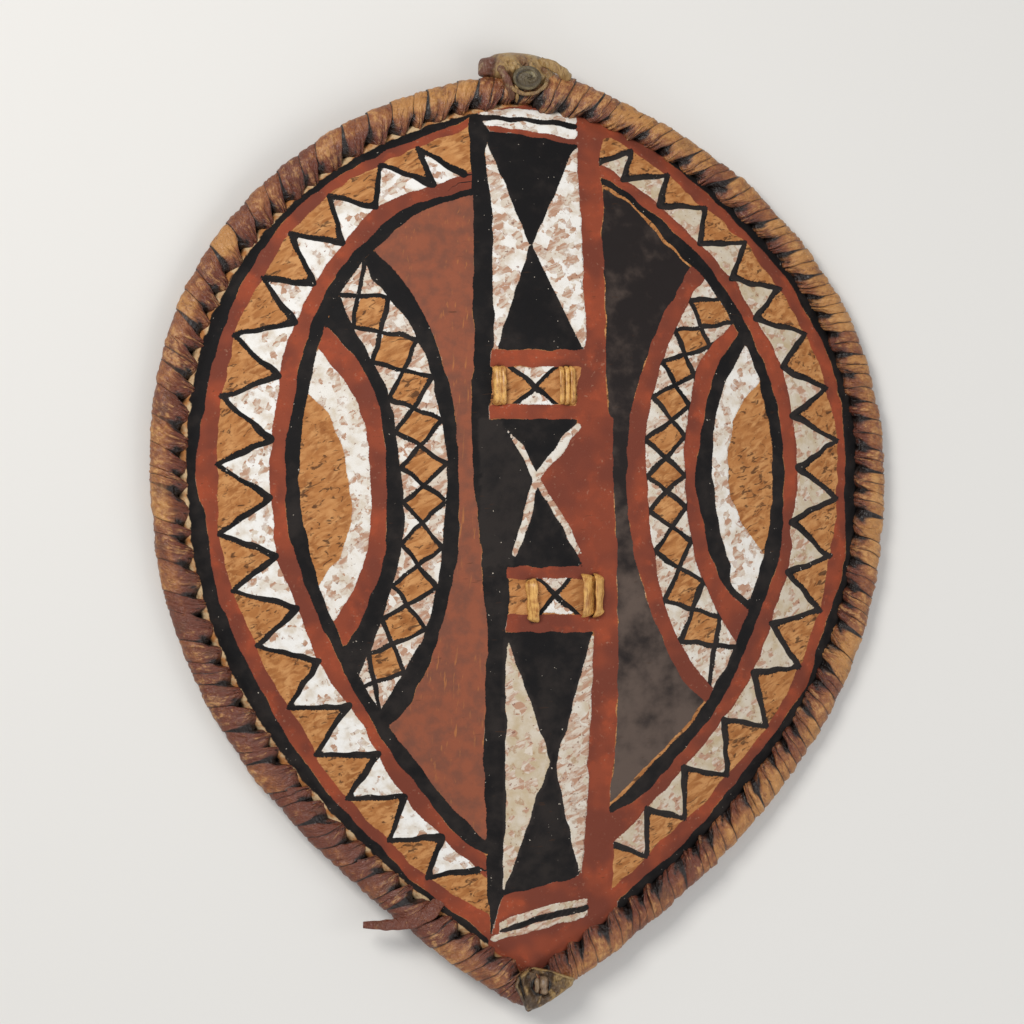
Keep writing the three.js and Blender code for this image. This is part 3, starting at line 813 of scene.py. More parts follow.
@dataclass
class PaintedPattern:
    """The whole painted face, laid down in the order that it was painted in."""

    left: LeftHalf = LeftHalf()
    right: RightHalf = RightHalf()
    notch_half: float = 3.2
    tip_half: float = 2.2
    ladder_half: float = 2.3
    cross_half: float = 2.2
    base_overlap: float = 24.0
    base_reach: float = 9.0
    end_reach: float = 8.0
    dusk_inset: float = 2.5
    bars: Points2 = ((146, 131), (97, 84), (-49, -60), (-93, -108))
    side_triangles: tuple[tuple[Points2, float, float], ...] = (
        (((-40, 345), (-25, 339), (16, 240), (-14, 144), (-40, 144)), 0.42, 0.2),
        (((70, 330), (57, 328), (18, 240), (64, 146), (80, 146)), 0.36, 0.2),
        (((-16, -113), (-4, -113), (34, -223), (-6, -340), (-20, -340)), 0.3, 1.0),
        (((84, -111), (72, -111), (39, -228), (63, -340), (74, -340)), 0.66, 0.7))
    bow_strokes: tuple[tuple[Points2, tuple[float, ...], float, float], ...] = (
        (((-6, 75), (7, 59), (22, 31)), (1.5, 6.0, 6.5), 0.4, 0.5),
        (((22, 33), (14, -2), (3, -38)), (5.5, 8.0, 5.0), 0.3, 0.5),
        (((58, 76), (48, 64), (22, 31)), (6.0, 8.0, 5.5), 0.35, 0.5),
        (((22, 30), (42, -3), (60, -36)), (5.0, 5.0, 3.6), 0.5, 0.6))
    ends: tuple[tuple[Points2, tuple[Stripe, ...]], ...] = (
        (((-31, 357), (-20, 343), (60, 331), (92, 338), (92, 420), (-31, 420)), (
            (Paint.WHITE, ((-25, 359.5), (10, 359), (55, 353.5)), (5.5, 8.5, 6.5), 0.2, 0.1),
            (Paint.WHITE, ((-24, 351.5), (10, 347.5), (55, 341)), (4.5, 7.0, 7.5), 0.2, 0.1),
            (Paint.BLACK, ((-34, 356), (10, 353), (56, 347.5)), (4.6, 4.0, 5.0), None, 0.0))),
        (((-21, -389), (-8, -345), (60, -329), (95, -340), (95, -430), (-40, -430)), (
            (Paint.WHITE, ((-8, -371), (28, -358.5), (66, -350)), (6.0, 6.0, 5.0), 0.5, 1.0),
            (Paint.WHITE, ((-16, -384), (28, -371.5), (66, -361)), (4.0, 6.0, 5.0), 0.5, 1.0),
            (Paint.BLACK, ((-9, -376.5), (28, -365), (67, -356)), (4.0, 6.0, 5.4), None, 0.0))))

    def paint(self, u: Array, v: Array) -> Canvas:
        """Lays every area and line over points at u across and v up, in pattern millimetres.

        Args:
            u: Places across.
            v: Places up.

        Returns:
            The painted canvas.
        """
        canvas = Canvas(u, v)
        self.paint_left(canvas)
        self.paint_right(canvas)
        self.paint_middle(canvas)
        self.paint_ends(canvas)
        return canvas

    def zigzag(self, canvas: Canvas, arcs: LeftHalf | RightHalf, inward: float, half: Array, wear: float,
               grime: float) -> None:
        """White teeth on a red band, with a black zigzag along them.

        Args:
            canvas: What is painted on.
            arcs: Edges of the half: the tips reach its zone, the notches lie on its inner_red.
            inward: 1 where the band lies right of the teeth, -1 where it lies left.
            half: Distance inside the half.
            wear: How far the white has come off.
            grime: How dull it is.
        """
        line, widths = [], []
        for notch, tip in zip(arcs.notches, arcs.tips + (None,)):
            line.append((float(arcs.inner_red.at(notch)), notch))
            widths.append(self.notch_half)
            if tip is not None:
                line.append((float(arcs.zone.at(tip)), tip))
                widths.append(self.tip_half)
        back = [(u + inward * self.base_overlap, v) for u, v in reversed(line[::2])]
        teeth = canvas.within(tuple(line + back))
        distance, thickness = canvas.to_path(tuple(line), tuple(widths))
        signed = np.where(teeth, distance, -distance)
        past_base = inward * canvas.right_of(arcs.inner_red)
        canvas.lay(Paint.WHITE, np.minimum(signed, np.minimum(-past_base, half)), wear, grime)
        top = max(arcs.notches[0], arcs.tips[0]) + self.end_reach
        bottom = min(arcs.notches[-1], arcs.tips[-1]) - self.end_reach
        keep = np.minimum(np.minimum(self.base_reach - past_base, half), canvas.at_level(top, bottom))
        canvas.draw(keep, thickness, signed)

    def ladder(self, canvas: Canvas, arcs: LeftHalf | RightHalf, left: Arc, right: Arc, inside: Array,
               wear: float, grime: float) -> None:
        """A band of ochre diamonds between white triangles, drawn with crossing black lines.

        Args:
            canvas: What is painted on.
            arcs: Edges of the half, with the heights of the line ends.
            left: Left edge of the band.
            right: Right edge of the band.
            inside: Distance inside the area that the band may cover.
            wear: How far the white has come off.
            grime: How dull it is.
        """
        area = np.minimum(canvas.between(left, right), inside)
        canvas.lay(Paint.WHITE, area, wear, grime)
        a = [np.array([float(left.at(v)), v]) for v in arcs.lattice_left]
        b = [np.array([float(right.at(v)), v]) for v in arcs.lattice_right]
        middles = [(a[j] + a[j + 1] + b[j] + b[j + 1]) / 4.0 for j in range(len(a) - 1)]
        for j in range(1, len(a) - 1):
            diamond = canvas.polygon((middles[j - 1], b[j], middles[j], a[j]))
            canvas.lay(Paint.OCHRE, np.minimum(diamond, area))
        canvas.draw(area + 1.0, self.ladder_half, canvas.family(a[:-1], b[1:]), canvas.family(b[:-1], a[1:]))

    def paint_left(self, canvas: Canvas) -> None:
        """The left half, from the black edge to the brown field."""
        arcs, fill = self.left, canvas.fill
        half = -canvas.right_of(arcs.column)
        inside = np.minimum(canvas.right_of(arcs.field), half)
        fill(Paint.BLACK, None, arcs.outer_red, half)
        fill(Paint.RED, arcs.outer_red, arcs.zone, half)
        fill(Paint.BROWN, arcs.lattice_black, None, inside)
        fill(Paint.BLACK, arcs.lattice, arcs.lattice_black, inside)
        self.ladder(canvas, arcs, arcs.core_black, arcs.lattice, inside, 0.6, 0.35)
        fill(Paint.BLACK, arcs.core_red, arcs.core_black, inside)
        fill(Paint.RED, arcs.core_white, arcs.core_red, inside)
        fill(Paint.WHITE, arcs.core, arcs.core_white, inside, 0.3, 0.3)
        self.zigzag(canvas, arcs, 1.0, half, 0.25, 0.1)
        fill(Paint.RED, arcs.inner_red, arcs.black_band, half)
        fill(Paint.BLACK, arcs.black_band, arcs.field, half)
        canvas.lay(Paint.BLACK, canvas.between(arcs.column, arcs.column_right))

    def paint_right(self, canvas: Canvas) -> None:
        """The right half, from the black edge to the dusky field."""
        arcs, fill = self.right, canvas.fill
        half = canvas.right_of(arcs.column_right)
        inside = np.minimum(-canvas.right_of(arcs.field), half)
        dusk = np.minimum(-canvas.right_of(arcs.field) - self.dusk_inset, half)
        fill(Paint.BLACK, arcs.outer_red, None, half)
        fill(Paint.RED, arcs.zone, arcs.outer_red, half)
        fill(Paint.DUSK, None, arcs.arc_red, dusk)
        fill(Paint.RED, arcs.arc_red, arcs.lattice, inside)
        self.ladder(canvas, arcs, arcs.lattice, arcs.inner_arc, inside, 0.5, 0.6)
        fill(Paint.RED, arcs.inner_arc, arcs.arc_black, inside)
        fill(Paint.BLACK, arcs.arc_black, arcs.arc_white, inside)
        fill(Paint.WHITE, arcs.arc_white, arcs.core, inside, 0.3, 0.3)
        self.zigzag(canvas, arcs, -1.0, half, 0.34, 1.0)
        fill(Paint.RED, arcs.black_band, arcs.inner_red, half)
        fill(Paint.BLACK, arcs.field, arcs.black_band, half)
        canvas.lay(Paint.RED, canvas.between(arcs.column, arcs.column_right))

    def paint_middle(self, canvas: Canvas) -> None:
        """The band between the black and the red column: hourglasses, bars and crossed boxes."""
        band = canvas.between(self.left.column_right, self.right.column)
        canvas.lay(Paint.BLACK, np.minimum(band, canvas.v - self.bars[0][0]))
        canvas.lay(Paint.BLACK, np.minimum(band, self.bars[-1][1] - canvas.v))
        for corners, wear, grime in self.side_triangles:
            canvas.lay(Paint.WHITE, np.minimum(canvas.polygon(corners), band), wear, grime)
        self.paint_bow(canvas, band)
        for upper, lower in self.bars:
            canvas.lay(Paint.RED, np.minimum(canvas.at_level(upper, lower), band + 2.0))
        self.paint_box(canvas, band, 131, 97, ((0, 130), (40, 97)), ((40, 131), (4, 97)))
        self.paint_box(canvas, band, -60, -93, ((22, -59), (58, -92)), ((59, -52), (26, -90)))

    def paint_bow(self, canvas: Canvas, band: Array) -> None:
        """The middle field: red on the right, dark on the left, two black triangles and a white cross.

        Args:
            canvas: What is painted on.
            band: Distance inside the middle band.
        """
        area = canvas.at_level(84, -49)
        canvas.lay(Paint.BLACK, np.minimum(band, area))
        dusty = canvas.polygon(((-27, 83), (-12, 83), (22, 31), (0, -46), (-27, -49)))
        canvas.lay(Paint.BLACK, dusty, 0.0, 0.9)
        right = canvas.polygon(((60, 84), (22, 31), (64, -49), (90, -49), (90, 84)))
        canvas.lay(Paint.RED, np.minimum(area, right), 0.3, 0.45)
        canvas.lay(Paint.BLACK, canvas.polygon(((-1, -49), (62, -49), (22, 18))))
        for points, widths, wear, grime in self.bow_strokes:
            canvas.lay(Paint.WHITE, canvas.stroke(points, widths), wear, grime)

    def paint_box(self, canvas: Canvas, band: Array, top: float, bottom: float, one: Points2,
                  two: Points2) -> None:
        """A small box with a black cross, white above and below it and ochre at its sides.

        Args:
            canvas: What is painted on.
            band: Distance inside the middle band.
            top: Height of the upper side.
            bottom: Height of the lower side.
            one: Ends of the first line, from the upper left.
            two: Ends of the second line, from the upper right.
        """
        area = np.minimum(band, canvas.at_level(top, bottom))
        canvas.lay(Paint.OCHRE, area)
        a, b, c, d = (np.array(point, float) for point in (*one, *two))
        middle = (a + b + c + d) / 4.0
        canvas.lay(Paint.WHITE, np.minimum(area, canvas.polygon((a, c, middle))), 0.7, 0.4)
        canvas.lay(Paint.WHITE, np.minimum(area, canvas.polygon((b, d, middle))), 0.3, 0.1)
        canvas.draw(area, self.cross_half, canvas.family([a], [b]), canvas.family([c], [d]))

    def paint_ends(self, canvas: Canvas) -> None:
        """The red ends with two white stripes and a black line between them."""
        for red, stripes in self.ends:
            canvas.lay(Paint.RED, canvas.polygon(red))
            for paint, points, widths, wear, grime in stripes:
                canvas.lay(paint, canvas.stroke(points, widths), wear, grime)


# Materials


@dataclass(frozen=True)
class Colour:
    """A colour as it looks in daylight, in parts of 255."""

    red: float
    green: float
    blue: float

    def linear(self) -> tuple[float, float, float, float]:
        """The same colour as the shader wants it."""
        parts = np.array([self.red, self.green, self.blue]) / 255.0
        low = parts / 12.92
        high = ((parts + 0.055) / 1.055) ** 2.4
        return (*np.where(parts <= 0.04045, low, high).tolist(), 1.0)


class Wire:
    """A socket of a shader that can be used in sums."""

    def __init__(self, shader: "Shader", socket: bpy.types.NodeSocket) -> None:
        """Keeps the shader that the socket belongs to."""
        self.shader = shader
        self.socket = socket

    def __add__(self, other: "Wire | float") -> "Wire":
        """Sum, in either order."""
        return self.shader.maths("ADD", self, other)

    def __sub__(self, other: "Wire | float") -> "Wire":
        """Difference."""
        return self.shader.maths("SUBTRACT", self, other)

    def __rsub__(self, other: float) -> "Wire":
        """Difference from a plain number."""
        return self.shader.maths("SUBTRACT", other, self)

    def __mul__(self, other: "Wire | float") -> "Wire":
        """Product, in either order."""
        return self.shader.maths("MULTIPLY", self, other)

    __radd__ = __add__
    __rmul__ = __mul__

    def ramp(self, low: float, high: float) -> "Wire":
        """Eases from 0 to 1 as the value goes from low to high."""
        node = self.shader.node("ShaderNodeMapRange", {"interpolation_type": "SMOOTHSTEP"},
                                {0: self, 1: low, 2: high, 3: 0.0, 4: 1.0})
        return Wire(self.shader, node.outputs[0])


class Shader:
    """The nodes of one material, on a plain principled surface."""

    def __init__(self, name: str) -> None:
        """Makes the material of that name with an empty surface."""
        self.material = bpy.data.materials.new(name)
        self.material.use_nodes = True
        self.tree = self.material.node_tree
        self.tree.nodes.clear()
        self.surface = self.tree.nodes.new("ShaderNodeBsdfPrincipled")
        output = self.tree.nodes.new("ShaderNodeOutputMaterial")
        self.tree.links.new(self.surface.outputs[0], output.inputs[0])
        self.place = self.tree.nodes.new("ShaderNodeTexCoord").outputs["Object"]

    def node(self, kind: str, settings: dict, inputs: dict) -> bpy.types.Node:
        """Adds any node.

        Args:
            kind: The node's type.
            settings: Its properties, set first.
            inputs: A wire, socket or plain value for each socket.

        Returns:
            The node.
        """
        node = self.tree.nodes.new(kind)
        for name, value in settings.items():
            setattr(node, name, value)
        for key, value in inputs.items():
            self.feed(node.inputs[key], value)
        return node

    def feed(self, socket: bpy.types.NodeSocket, value: object) -> None:
        """Links a wire to a socket, or sets the socket to a plain value.

        Args:
            socket: The socket.
            value: A wire, another socket, a colour or a number.
        """
        if isinstance(value, Wire):
            self.tree.links.new(value.socket, socket)
        elif isinstance(value, bpy.types.NodeSocket):
            self.tree.links.new(value, socket)
        elif isinstance(value, Colour):
            socket.default_value = value.linear()
        else:
            socket.default_value = value

    def maths(self, operation: str, a: Wire | float, b: Wire | float) -> Wire:
        """One sum on two values."""
        return Wire(self, self.node("ShaderNodeMath", {"operation": operation}, {0: a, 1: b}).outputs[0])

    def value(self, name: str) -> Wire:
        """A value that the mesh carries."""
        return Wire(self, self.node("ShaderNodeAttribute", {"attribute_name": name}, {}).outputs["Fac"])

    def sheet(self, along: Wire, girth: Wire) -> bpy.types.NodeSocket:
        """Coordinates in a strip of leather, in metres, from its two values in millimetres."""
        return self.node("ShaderNodeCombineXYZ", {}, {0: along * MM, 1: girth * MM, 2: 0.0}).outputs[0]

    def mapped(self, size: float, stretch: Vector3, turn: float, shift: float,
               source: bpy.types.NodeSocket | None) -> bpy.types.NodeSocket:
        """Coordinates in which a patch of the given size has length one.

        Args:
            size: Size of a patch, in millimetres.
            stretch: How many times longer it is along each axis.
            turn: Turn about the upright axis, in degrees.
            shift: Moves the pattern, so that two patterns differ.
            source: Coordinates to start from, the object's own where there is none.

        Returns:
            The coordinates.
        """
        return self.node("ShaderNodeMapping", {"vector_type": "TEXTURE"}, {
            "Vector": source or self.place, "Location": (shift * MM, shift * MM, 0.0),
            "Rotation": (0.0, 0.0, float(np.radians(turn))),
            "Scale": tuple(size * MM * s for s in stretch)}).outputs[0]

    def noise(self, size: float, detail: float = 2.0, stretch: Vector3 = (1.0, 1.0, 1.0),
              turn: float = 0.0, shift: float = 0.0, warp: float = 0.0,
              source: bpy.types.NodeSocket | None = None) -> Wire:
        """Noise from 0 to 1 in the coordinates of mapped.

        Args:
            size: Size of a patch, in millimetres.
            detail: Number of finer layers.
            stretch: As in mapped.
            turn: As in mapped.
            shift: As in mapped.
            warp: Twists the pattern.
            source: As in mapped.

        Returns:
            The noise.
        """
        node = self.node("ShaderNodeTexNoise", {}, {
            "Vector": self.mapped(size, stretch, turn, shift, source), "Scale": 1.0, "Detail": detail,
            "Roughness": 0.55, "Distortion": warp})
        return Wire(self, node.outputs[0])

    def chips(self, size: float, ragged: float, shift: float = 0.0) -> Wire:
        """A random value from 0 to 1 for each of many small ragged cells.

        Args:
            size: Size of a cell, in millimetres.
            ragged: How far the borders stray, in cells.
            shift: Moves the pattern.

        Returns:
            The value.
        """
        place = self.mapped(size, (1.0, 1.0, 1.0), 0.0, shift, None)
        stray = self.node("ShaderNodeTexNoise", {}, {"Vector": place, "Scale": 2.2, "Detail": 3.0})
        moved = self.node("ShaderNodeVectorMath", {"operation": "MULTIPLY_ADD"}, {
            0: stray.outputs["Color"], 1: (ragged,) * 3, 2: place})
        cells = self.node("ShaderNodeTexVoronoi", {"feature": "F1"}, {"Vector": moved.outputs[0], "Scale": 1.0})
        parts = self.node("ShaderNodeSeparateColor", {}, {0: cells.outputs["Color"]})
        return Wire(self, parts.outputs[0])

    def blend(self, share: Wire | float, a: "Wire | Colour", b: "Wire | Colour") -> Wire:
        """Goes from colour a to colour b as the share goes from 0 to 1."""
        return Wire(self, self.node("ShaderNodeMix", {"data_type": "RGBA"}, {0: share, 6: a, 7: b}).outputs[2])

    def finish(self, colour: Wire, roughness: Wire | float, height: Wire, depth: float,
               shine: float = 0.5) -> bpy.types.Material:
        """Feeds the surface.

        Args:
            colour: Base colour.
            roughness: Roughness.
            height: Height of the fine relief, from 0 to 1.
            depth: Depth of that relief, in millimetres.
            shine: Strength of the reflection.

        Returns:
            The material.
        """
        bump = self.node("ShaderNodeBump", {}, {"Strength": 1.0, "Distance": depth * MM, "Height": height})
        self.feed(self.surface.inputs["Base Color"], colour)
        self.feed(self.surface.inputs["Roughness"], roughness)
        self.feed(self.surface.inputs["Normal"], bump.outputs[0])
        self.surface.inputs["Specular IOR Level"].default_value = shine
        return self.material


@dataclass(frozen=True)
class PaintedFace:
    """Chalky paints on hide, brushed on by hand, flaked, dusty and worn at the edge, with painted shade in the
    pits and along the edges of the flakes.
    """

    ochre: Colour = Colour(176, 117, 66)
    ochre_light: Colour = Colour(197, 143, 90)
    ochre_dark: Colour = Colour(146, 90, 46)
    fleck: Colour = Colour(66, 42, 26)
    red: Colour = Colour(140, 66, 43)
    red_bright: Colour = Colour(158, 73, 46)
    red_dull: Colour = Colour(114, 56, 41)
    brown: Colour = Colour(142, 80, 57)
    brown_dull: Colour = Colour(120, 74, 58)
    scratch: Colour = Colour(178, 114, 64)
    dusk: Colour = Colour(34, 28, 27)
    dusk_dusty: Colour = Colour(92, 78, 70)
    black: Colour = Colour(15, 13, 14)
    black_dusty: Colour = Colour(48, 42, 39)
    white: Colour = Colour(235, 233, 229)
    white_dull: Colour = Colour(208, 196, 180)
    white_grimy: Colour = Colour(184, 164, 132)
    undercoat: Colour = Colour(176, 136, 112)
    bare_edge: Colour = Colour(206, 178, 138)
    # Near black, painted into the thong holes and the pits between the binding's laps as shade
    pit: Colour = Colour(12, 9, 8)

    def material(self) -> bpy.types.Material:
        """The face's material, which reads the painted areas that the mesh carries."""
        shader = Shader("painted_hide")
        blend, noise, value = shader.blend, shader.noise, shader.value
        wobble = (noise(12.0, 1.0, shift=3.0) - 0.5) * 1.3
        fine = noise(1.6, 2.0, shift=31.0)
        wobble = wobble + (fine - 0.5) * 1.7
        grain = noise(5.0, 3.0, stretch=(3.2, 1.0, 1.0), turn=28.0, warp=0.6)
        broad = noise(42.0, 2.0, shift=17.0)
        patchy = noise(13.0, 4.0, shift=53.0)
        speck = noise(3.2, 2.0, shift=71.0)
        seam = broad.ramp(0.44, 0.60) * 1.15 - 0.75

        def lower(paint: Paint) -> Wire:
            """Where a colour under black and white shows. It runs on under them, but for a few gaps."""
            return (value(paint.value) - wobble - seam).ramp(-0.25, 0.25)

        def upper(paint: Paint, spread: float) -> Wire:
            """Where black or white shows, spread a little past its edge."""
            return (value(paint.value) + wobble + spread).ramp(-0.25, 0.25)

        worn = value("wear")
        grime = value("grime")
        pale = blend(fine.ramp(0.35, 0.65), self.undercoat, self.white_dull)
        ochre = blend(grain.ramp(0.36, 0.64), self.ochre_dark, self.ochre_light)
        ochre = blend(patchy.ramp(0.3, 0.7) * 0.75, ochre, self.ochre)
        flecks = noise(4.6, 3.0, stretch=(2.6, 1.0, 1.0), turn=20.0, shift=91.0, warp=1.0)
        flecks = (flecks + (broad - 0.5) * 0.3).ramp(0.57, 0.66)
        ochre = blend(flecks * 0.8, ochre, self.fleck)
        ochre = blend((fine * 0.5 + speck * 0.5).ramp(0.60, 0.68) * 0.5, ochre, self.ochre_dark)
        colour = blend((value(Paint.OCHRE.value) + 1.6).ramp(-0.4, 0.4), pale, ochre)

        brown = blend(patchy.ramp(0.35, 0.7), self.brown, self.brown_dull)
        lines = noise(2.6, 2.0, stretch=(1.0, 14.0, 1.0), turn=-4.0, shift=23.0).ramp(0.60, 0.70)
        brown = blend(lines * broad.ramp(0.42, 0.6) * 0.6, brown, self.scratch)
        colour = blend(lower(Paint.BROWN), colour, brown)

        low = value("low")
        dusk = blend((broad * 0.7 + patchy * 0.5 + low * 0.3).ramp(0.6, 1.0), self.dusk, self.dusk_dusty)
        colour = blend(lower(Paint.DUSK), colour, dusk)

        red = blend(broad.ramp(0.38, 0.62), self.red_dull, self.red)
        red = blend((patchy * 0.6 + broad * 0.5).ramp(0.56, 0.72) * 0.8, red, self.red_bright)
        red = blend(grime * 0.75, red, self.red_dull)
        rubbed = speck.ramp(0.62, 0.74) * patchy.ramp(0.42, 0.6)
        red = blend(rubbed * 0.4, red, self.undercoat)
        colour = blend(lower(Paint.RED), colour, red)

        white = blend(patchy.ramp(0.40, 0.72), self.white, self.white_dull)
        white = blend(grime * (0.35 + patchy * 0.9), white, self.white_grimy)
        cells = shader.chips(6.5, 0.55, shift=41.0)
        loss = cells * 0.5 + patchy * 0.45 + speck * 0.16 + worn * 0.55
        flaked = loss.ramp(0.81, 0.84)
        # Painted shadow: a thin darker line round the edge of each flake
        flake_edge_shade = loss.ramp(0.765, 0.81) - flaked
        white = blend(flake_edge_shade * 0.45, white, self.ochre_dark)
        white = blend(flaked, white, blend(grain.ramp(0.4, 0.62), self.undercoat, self.white_dull))
        spots = (speck * 0.8 + cells * 0.06 + worn * 0.1).ramp(0.60, 0.64)
        white = blend(spots * 0.75, white, self.brown_dull)
        colour = blend(upper(Paint.WHITE, 0.45), colour, white)

        dusty = (patchy * 0.6 + broad * 0.5 + low * 0.1 + grime * 0.2).ramp(0.48, 0.86)
        black = blend(dusty * 0.75, self.black, self.black_dusty)
        one = shader.maths("ABSOLUTE", value("line_one") + wobble * 0.7, 0.0)
        two = shader.maths("ABSOLUTE", value("line_two") - wobble * 0.7, 0.0)
        brush = (patchy - 0.5) * 2.0 + (fine - 0.5) * 1.6 - 0.1
        lined = (value("line_half") - shader.maths("MINIMUM", one, two) + brush).ramp(-0.25, 0.25)
        lined = lined * value("line_keep").ramp(-0.3, 0.3)
        black_area = shader.maths("MAXIMUM", upper(Paint.BLACK, 0.1), lined)
        colour = blend(black_area, colour, black)
        colour = blend(speck.ramp(0.735, 0.765) * black_area * 0.7, colour, self.white_dull)
        cuts = noise(2.4, 2.0, stretch=(11.0, 1.0, 1.0), turn=3.0, shift=99.0).ramp(0.68, 0.73)
        colour = blend(cuts * broad.ramp(0.45, 0.62) * 0.5, colour, self.fleck)

        bare = (value("edge") + (patchy - 0.5) * 8.0).ramp(17.6, 16.4)
        hem = blend(patchy.ramp(0.38, 0.6), self.bare_edge, self.ochre)
        colour = blend(bare, colour, blend(fine.ramp(0.5, 0.7) * 0.35, hem, self.ochre_dark))
        # Painted shade: the dents of the thong holes and the pits between the laps turn near black
        colour = blend(value("pit"), colour, self.pit)
        roughness = 0.64 + patchy * 0.25
        paint = value(Paint.WHITE.value).ramp(-0.4, 0.4)
        return shader.finish(colour, roughness, grain * 0.4 + fine * 0.25 + paint * 0.5, 0.6, 0.2)


@dataclass(frozen=True)
class RawHide:
    """The unpainted back of the hide."""

    light: Colour = Colour(178, 142, 98)
    dark: Colour = Colour(112, 80, 50)
    stain_and_pit_shade: Colour = Colour(74, 52, 34)

    def material(self) -> bpy.types.Material:
        """Smooth hide with long scrape marks and stains, and painted shade in the pits."""
        shader = Shader("raw_hide")
        blend, noise, value = shader.blend, shader.noise, shader.value
        scrape = noise(5.0, 4.0, stretch=(1.0, 5.0, 1.0), warp=0.6)
        cloud = noise(60.0, 4.0, shift=9.0)
        pore = noise(1.6, 2.0, shift=4.0)
        colour = blend((scrape * 0.5 + cloud * 0.5).ramp(0.35, 0.65), self.dark, self.light)
        colour = blend(noise(24.0, 3.0, shift=77.0).ramp(0.58, 0.75) * 0.7, colour, self.stain_and_pit_shade)
        # Painted shade: the pits turn the dark stain colour
        colour = blend(value("pit"), colour, self.stain_and_pit_shade)
        return shader.finish(colour, 0.6 + pore * 0.25, scrape * 0.6 + pore * 0.4, 0.5)


@dataclass(frozen=True)
class BindingLeather:
    """Soft leather strip, golden in places and reddish in others, lighter on its raised parts, partly from
    rubbing and partly as a painted highlight, with painted shade in its folds and pits.
    """

    name: str = "binding_leather"
    gold: Colour = Colour(178, 124, 68)
    tan: Colour = Colour(142, 86, 49)
    russet: Colour = Colour(104, 52, 34)
    # Near black, painted into folds and pits as shade
    crease: Colour = Colour(24, 13, 9)
    # Light gold of rubbed raised parts, which also serves as their painted highlight
    rubbed: Colour = Colour(214, 162, 102)
    grime: Colour = Colour(88, 68, 42)

    def material(self) -> bpy.types.Material:
        """The leather's material, which reads its folds, its tone and its painted light and shade from the
        mesh.
        """
        shader = Shader(self.name)
        blend, noise, value = shader.blend, shader.noise, shader.value
        cloth = shader.sheet(value("along"), value("girth"))
        inner = value("inner")
        wrinkle = noise(2.8, 3.0, stretch=(1.0, 1.6, 1.0), shift=3.0, warp=1.5, source=cloth)
        fold = noise(8.0, 2.0, stretch=(1.0, 1.8, 1.0), shift=47.0, warp=1.2, source=cloth)
        mottle = noise(5.0, 3.0, shift=13.0)
        cloud = noise(24.0, 2.0, shift=2.0)
        # The tone value also brings the painted light and shade of the rim, the cap and the patch
        warm = (value("tone") + cloud * 0.55 + (mottle - 0.5) * 0.6 - 0.1).ramp(0.1, 0.9)
        colour = blend(warm.ramp(0.0, 0.55), self.russet, self.tan)
        colour = blend(warm.ramp(0.45, 1.0), colour, self.gold)
        colour = blend((1.0 - cloud).ramp(0.56, 0.70) * 0.3, colour, self.grime)
        # Painted highlight, partly rubbed wear: raised parts of the wrinkles and folds and a high crest value
        # turn light gold, and as painted shade their hollows turn russet
        ridge = wrinkle * 0.55 + fold * 0.45 + value("crest") * 0.3
        colour = blend((ridge + (mottle - 0.5) * 0.5).ramp(0.70, 0.94) * 0.5, colour, self.rubbed)
        colour = blend((1.0 - ridge).ramp(0.34, 0.52) * 0.6, colour, self.russet)
        # Painted shade: the valleys of the wrinkles darken, more on the side towards the hide, and so do the
        # folds and pits of the crease value
        valley = (1.0 - (wrinkle * 0.5 + fold * 0.5)).ramp(0.55, 0.68) * (0.15 + inner * 0.5)
        colour = blend(valley, colour, self.crease)
        crease = value("crease") + (mottle - 0.5) * 0.35
        colour = blend(crease.ramp(0.12, 0.8), colour, self.crease)
        roughness = 0.28 + mottle * 0.25 + valley * 0.3
        height = wrinkle * (0.45 + inner * 0.2) + fold * (0.9 + inner * 0.5)
        return shader.finish(colour, roughness, height, 2.6)


@dataclass(frozen=True)
class Fibres:
    """A hard finish with fibres or grain along y: rawhide thong, or wood polished by the hand."""

    name: str = "rawhide_thong"
    light: Colour = Colour(222, 172, 96)
    dark: Colour = Colour(160, 104, 50)
    dirt: Colour = Colour(84, 54, 32)

    def thong(self) -> bpy.types.Material:
        """Golden thong with streaks that follow the strand."""
        shader = Shader(self.name)
        blend, noise = shader.blend, shader.noise
        streak = noise(1.6, 3.0, stretch=(1.0, 9.0, 1.0), shift=7.0)
        mottle = noise(5.0, 3.0, shift=19.0)
        colour = blend((streak * 0.6 + mottle * 0.5).ramp(0.38, 0.7), self.dark, self.light)
        colour = blend(noise(4.0, 3.0, shift=37.0).ramp(0.62, 0.74) * 0.5, colour, self.dirt)
        return shader.finish(colour, 0.3 + mottle * 0.22, streak, 0.25)

    def wood(self) -> bpy.types.Material:
        """Whittled wood with grain along the stave."""
        shader = Shader(self.name)
        blend, noise = shader.blend, shader.noise
        grain = noise(2.4, 4.0, stretch=(1.0, 16.0, 1.0), warp=0.3)
        cloud = noise(40.0, 3.0, shift=15.0)
        colour = blend((grain * 0.7 + cloud * 0.4).ramp(0.4, 0.7), self.dark, self.light)
        colour = blend(cloud.ramp(0.5, 0.75) * 0.5, colour, self.dirt)
        return shader.finish(colour, 0.45 + grain * 0.25, grain, 0.5)


# Pieces


@dataclass
class Fitted:
    """A piece that is fitted to the form of the shield."""

    form: ShieldForm


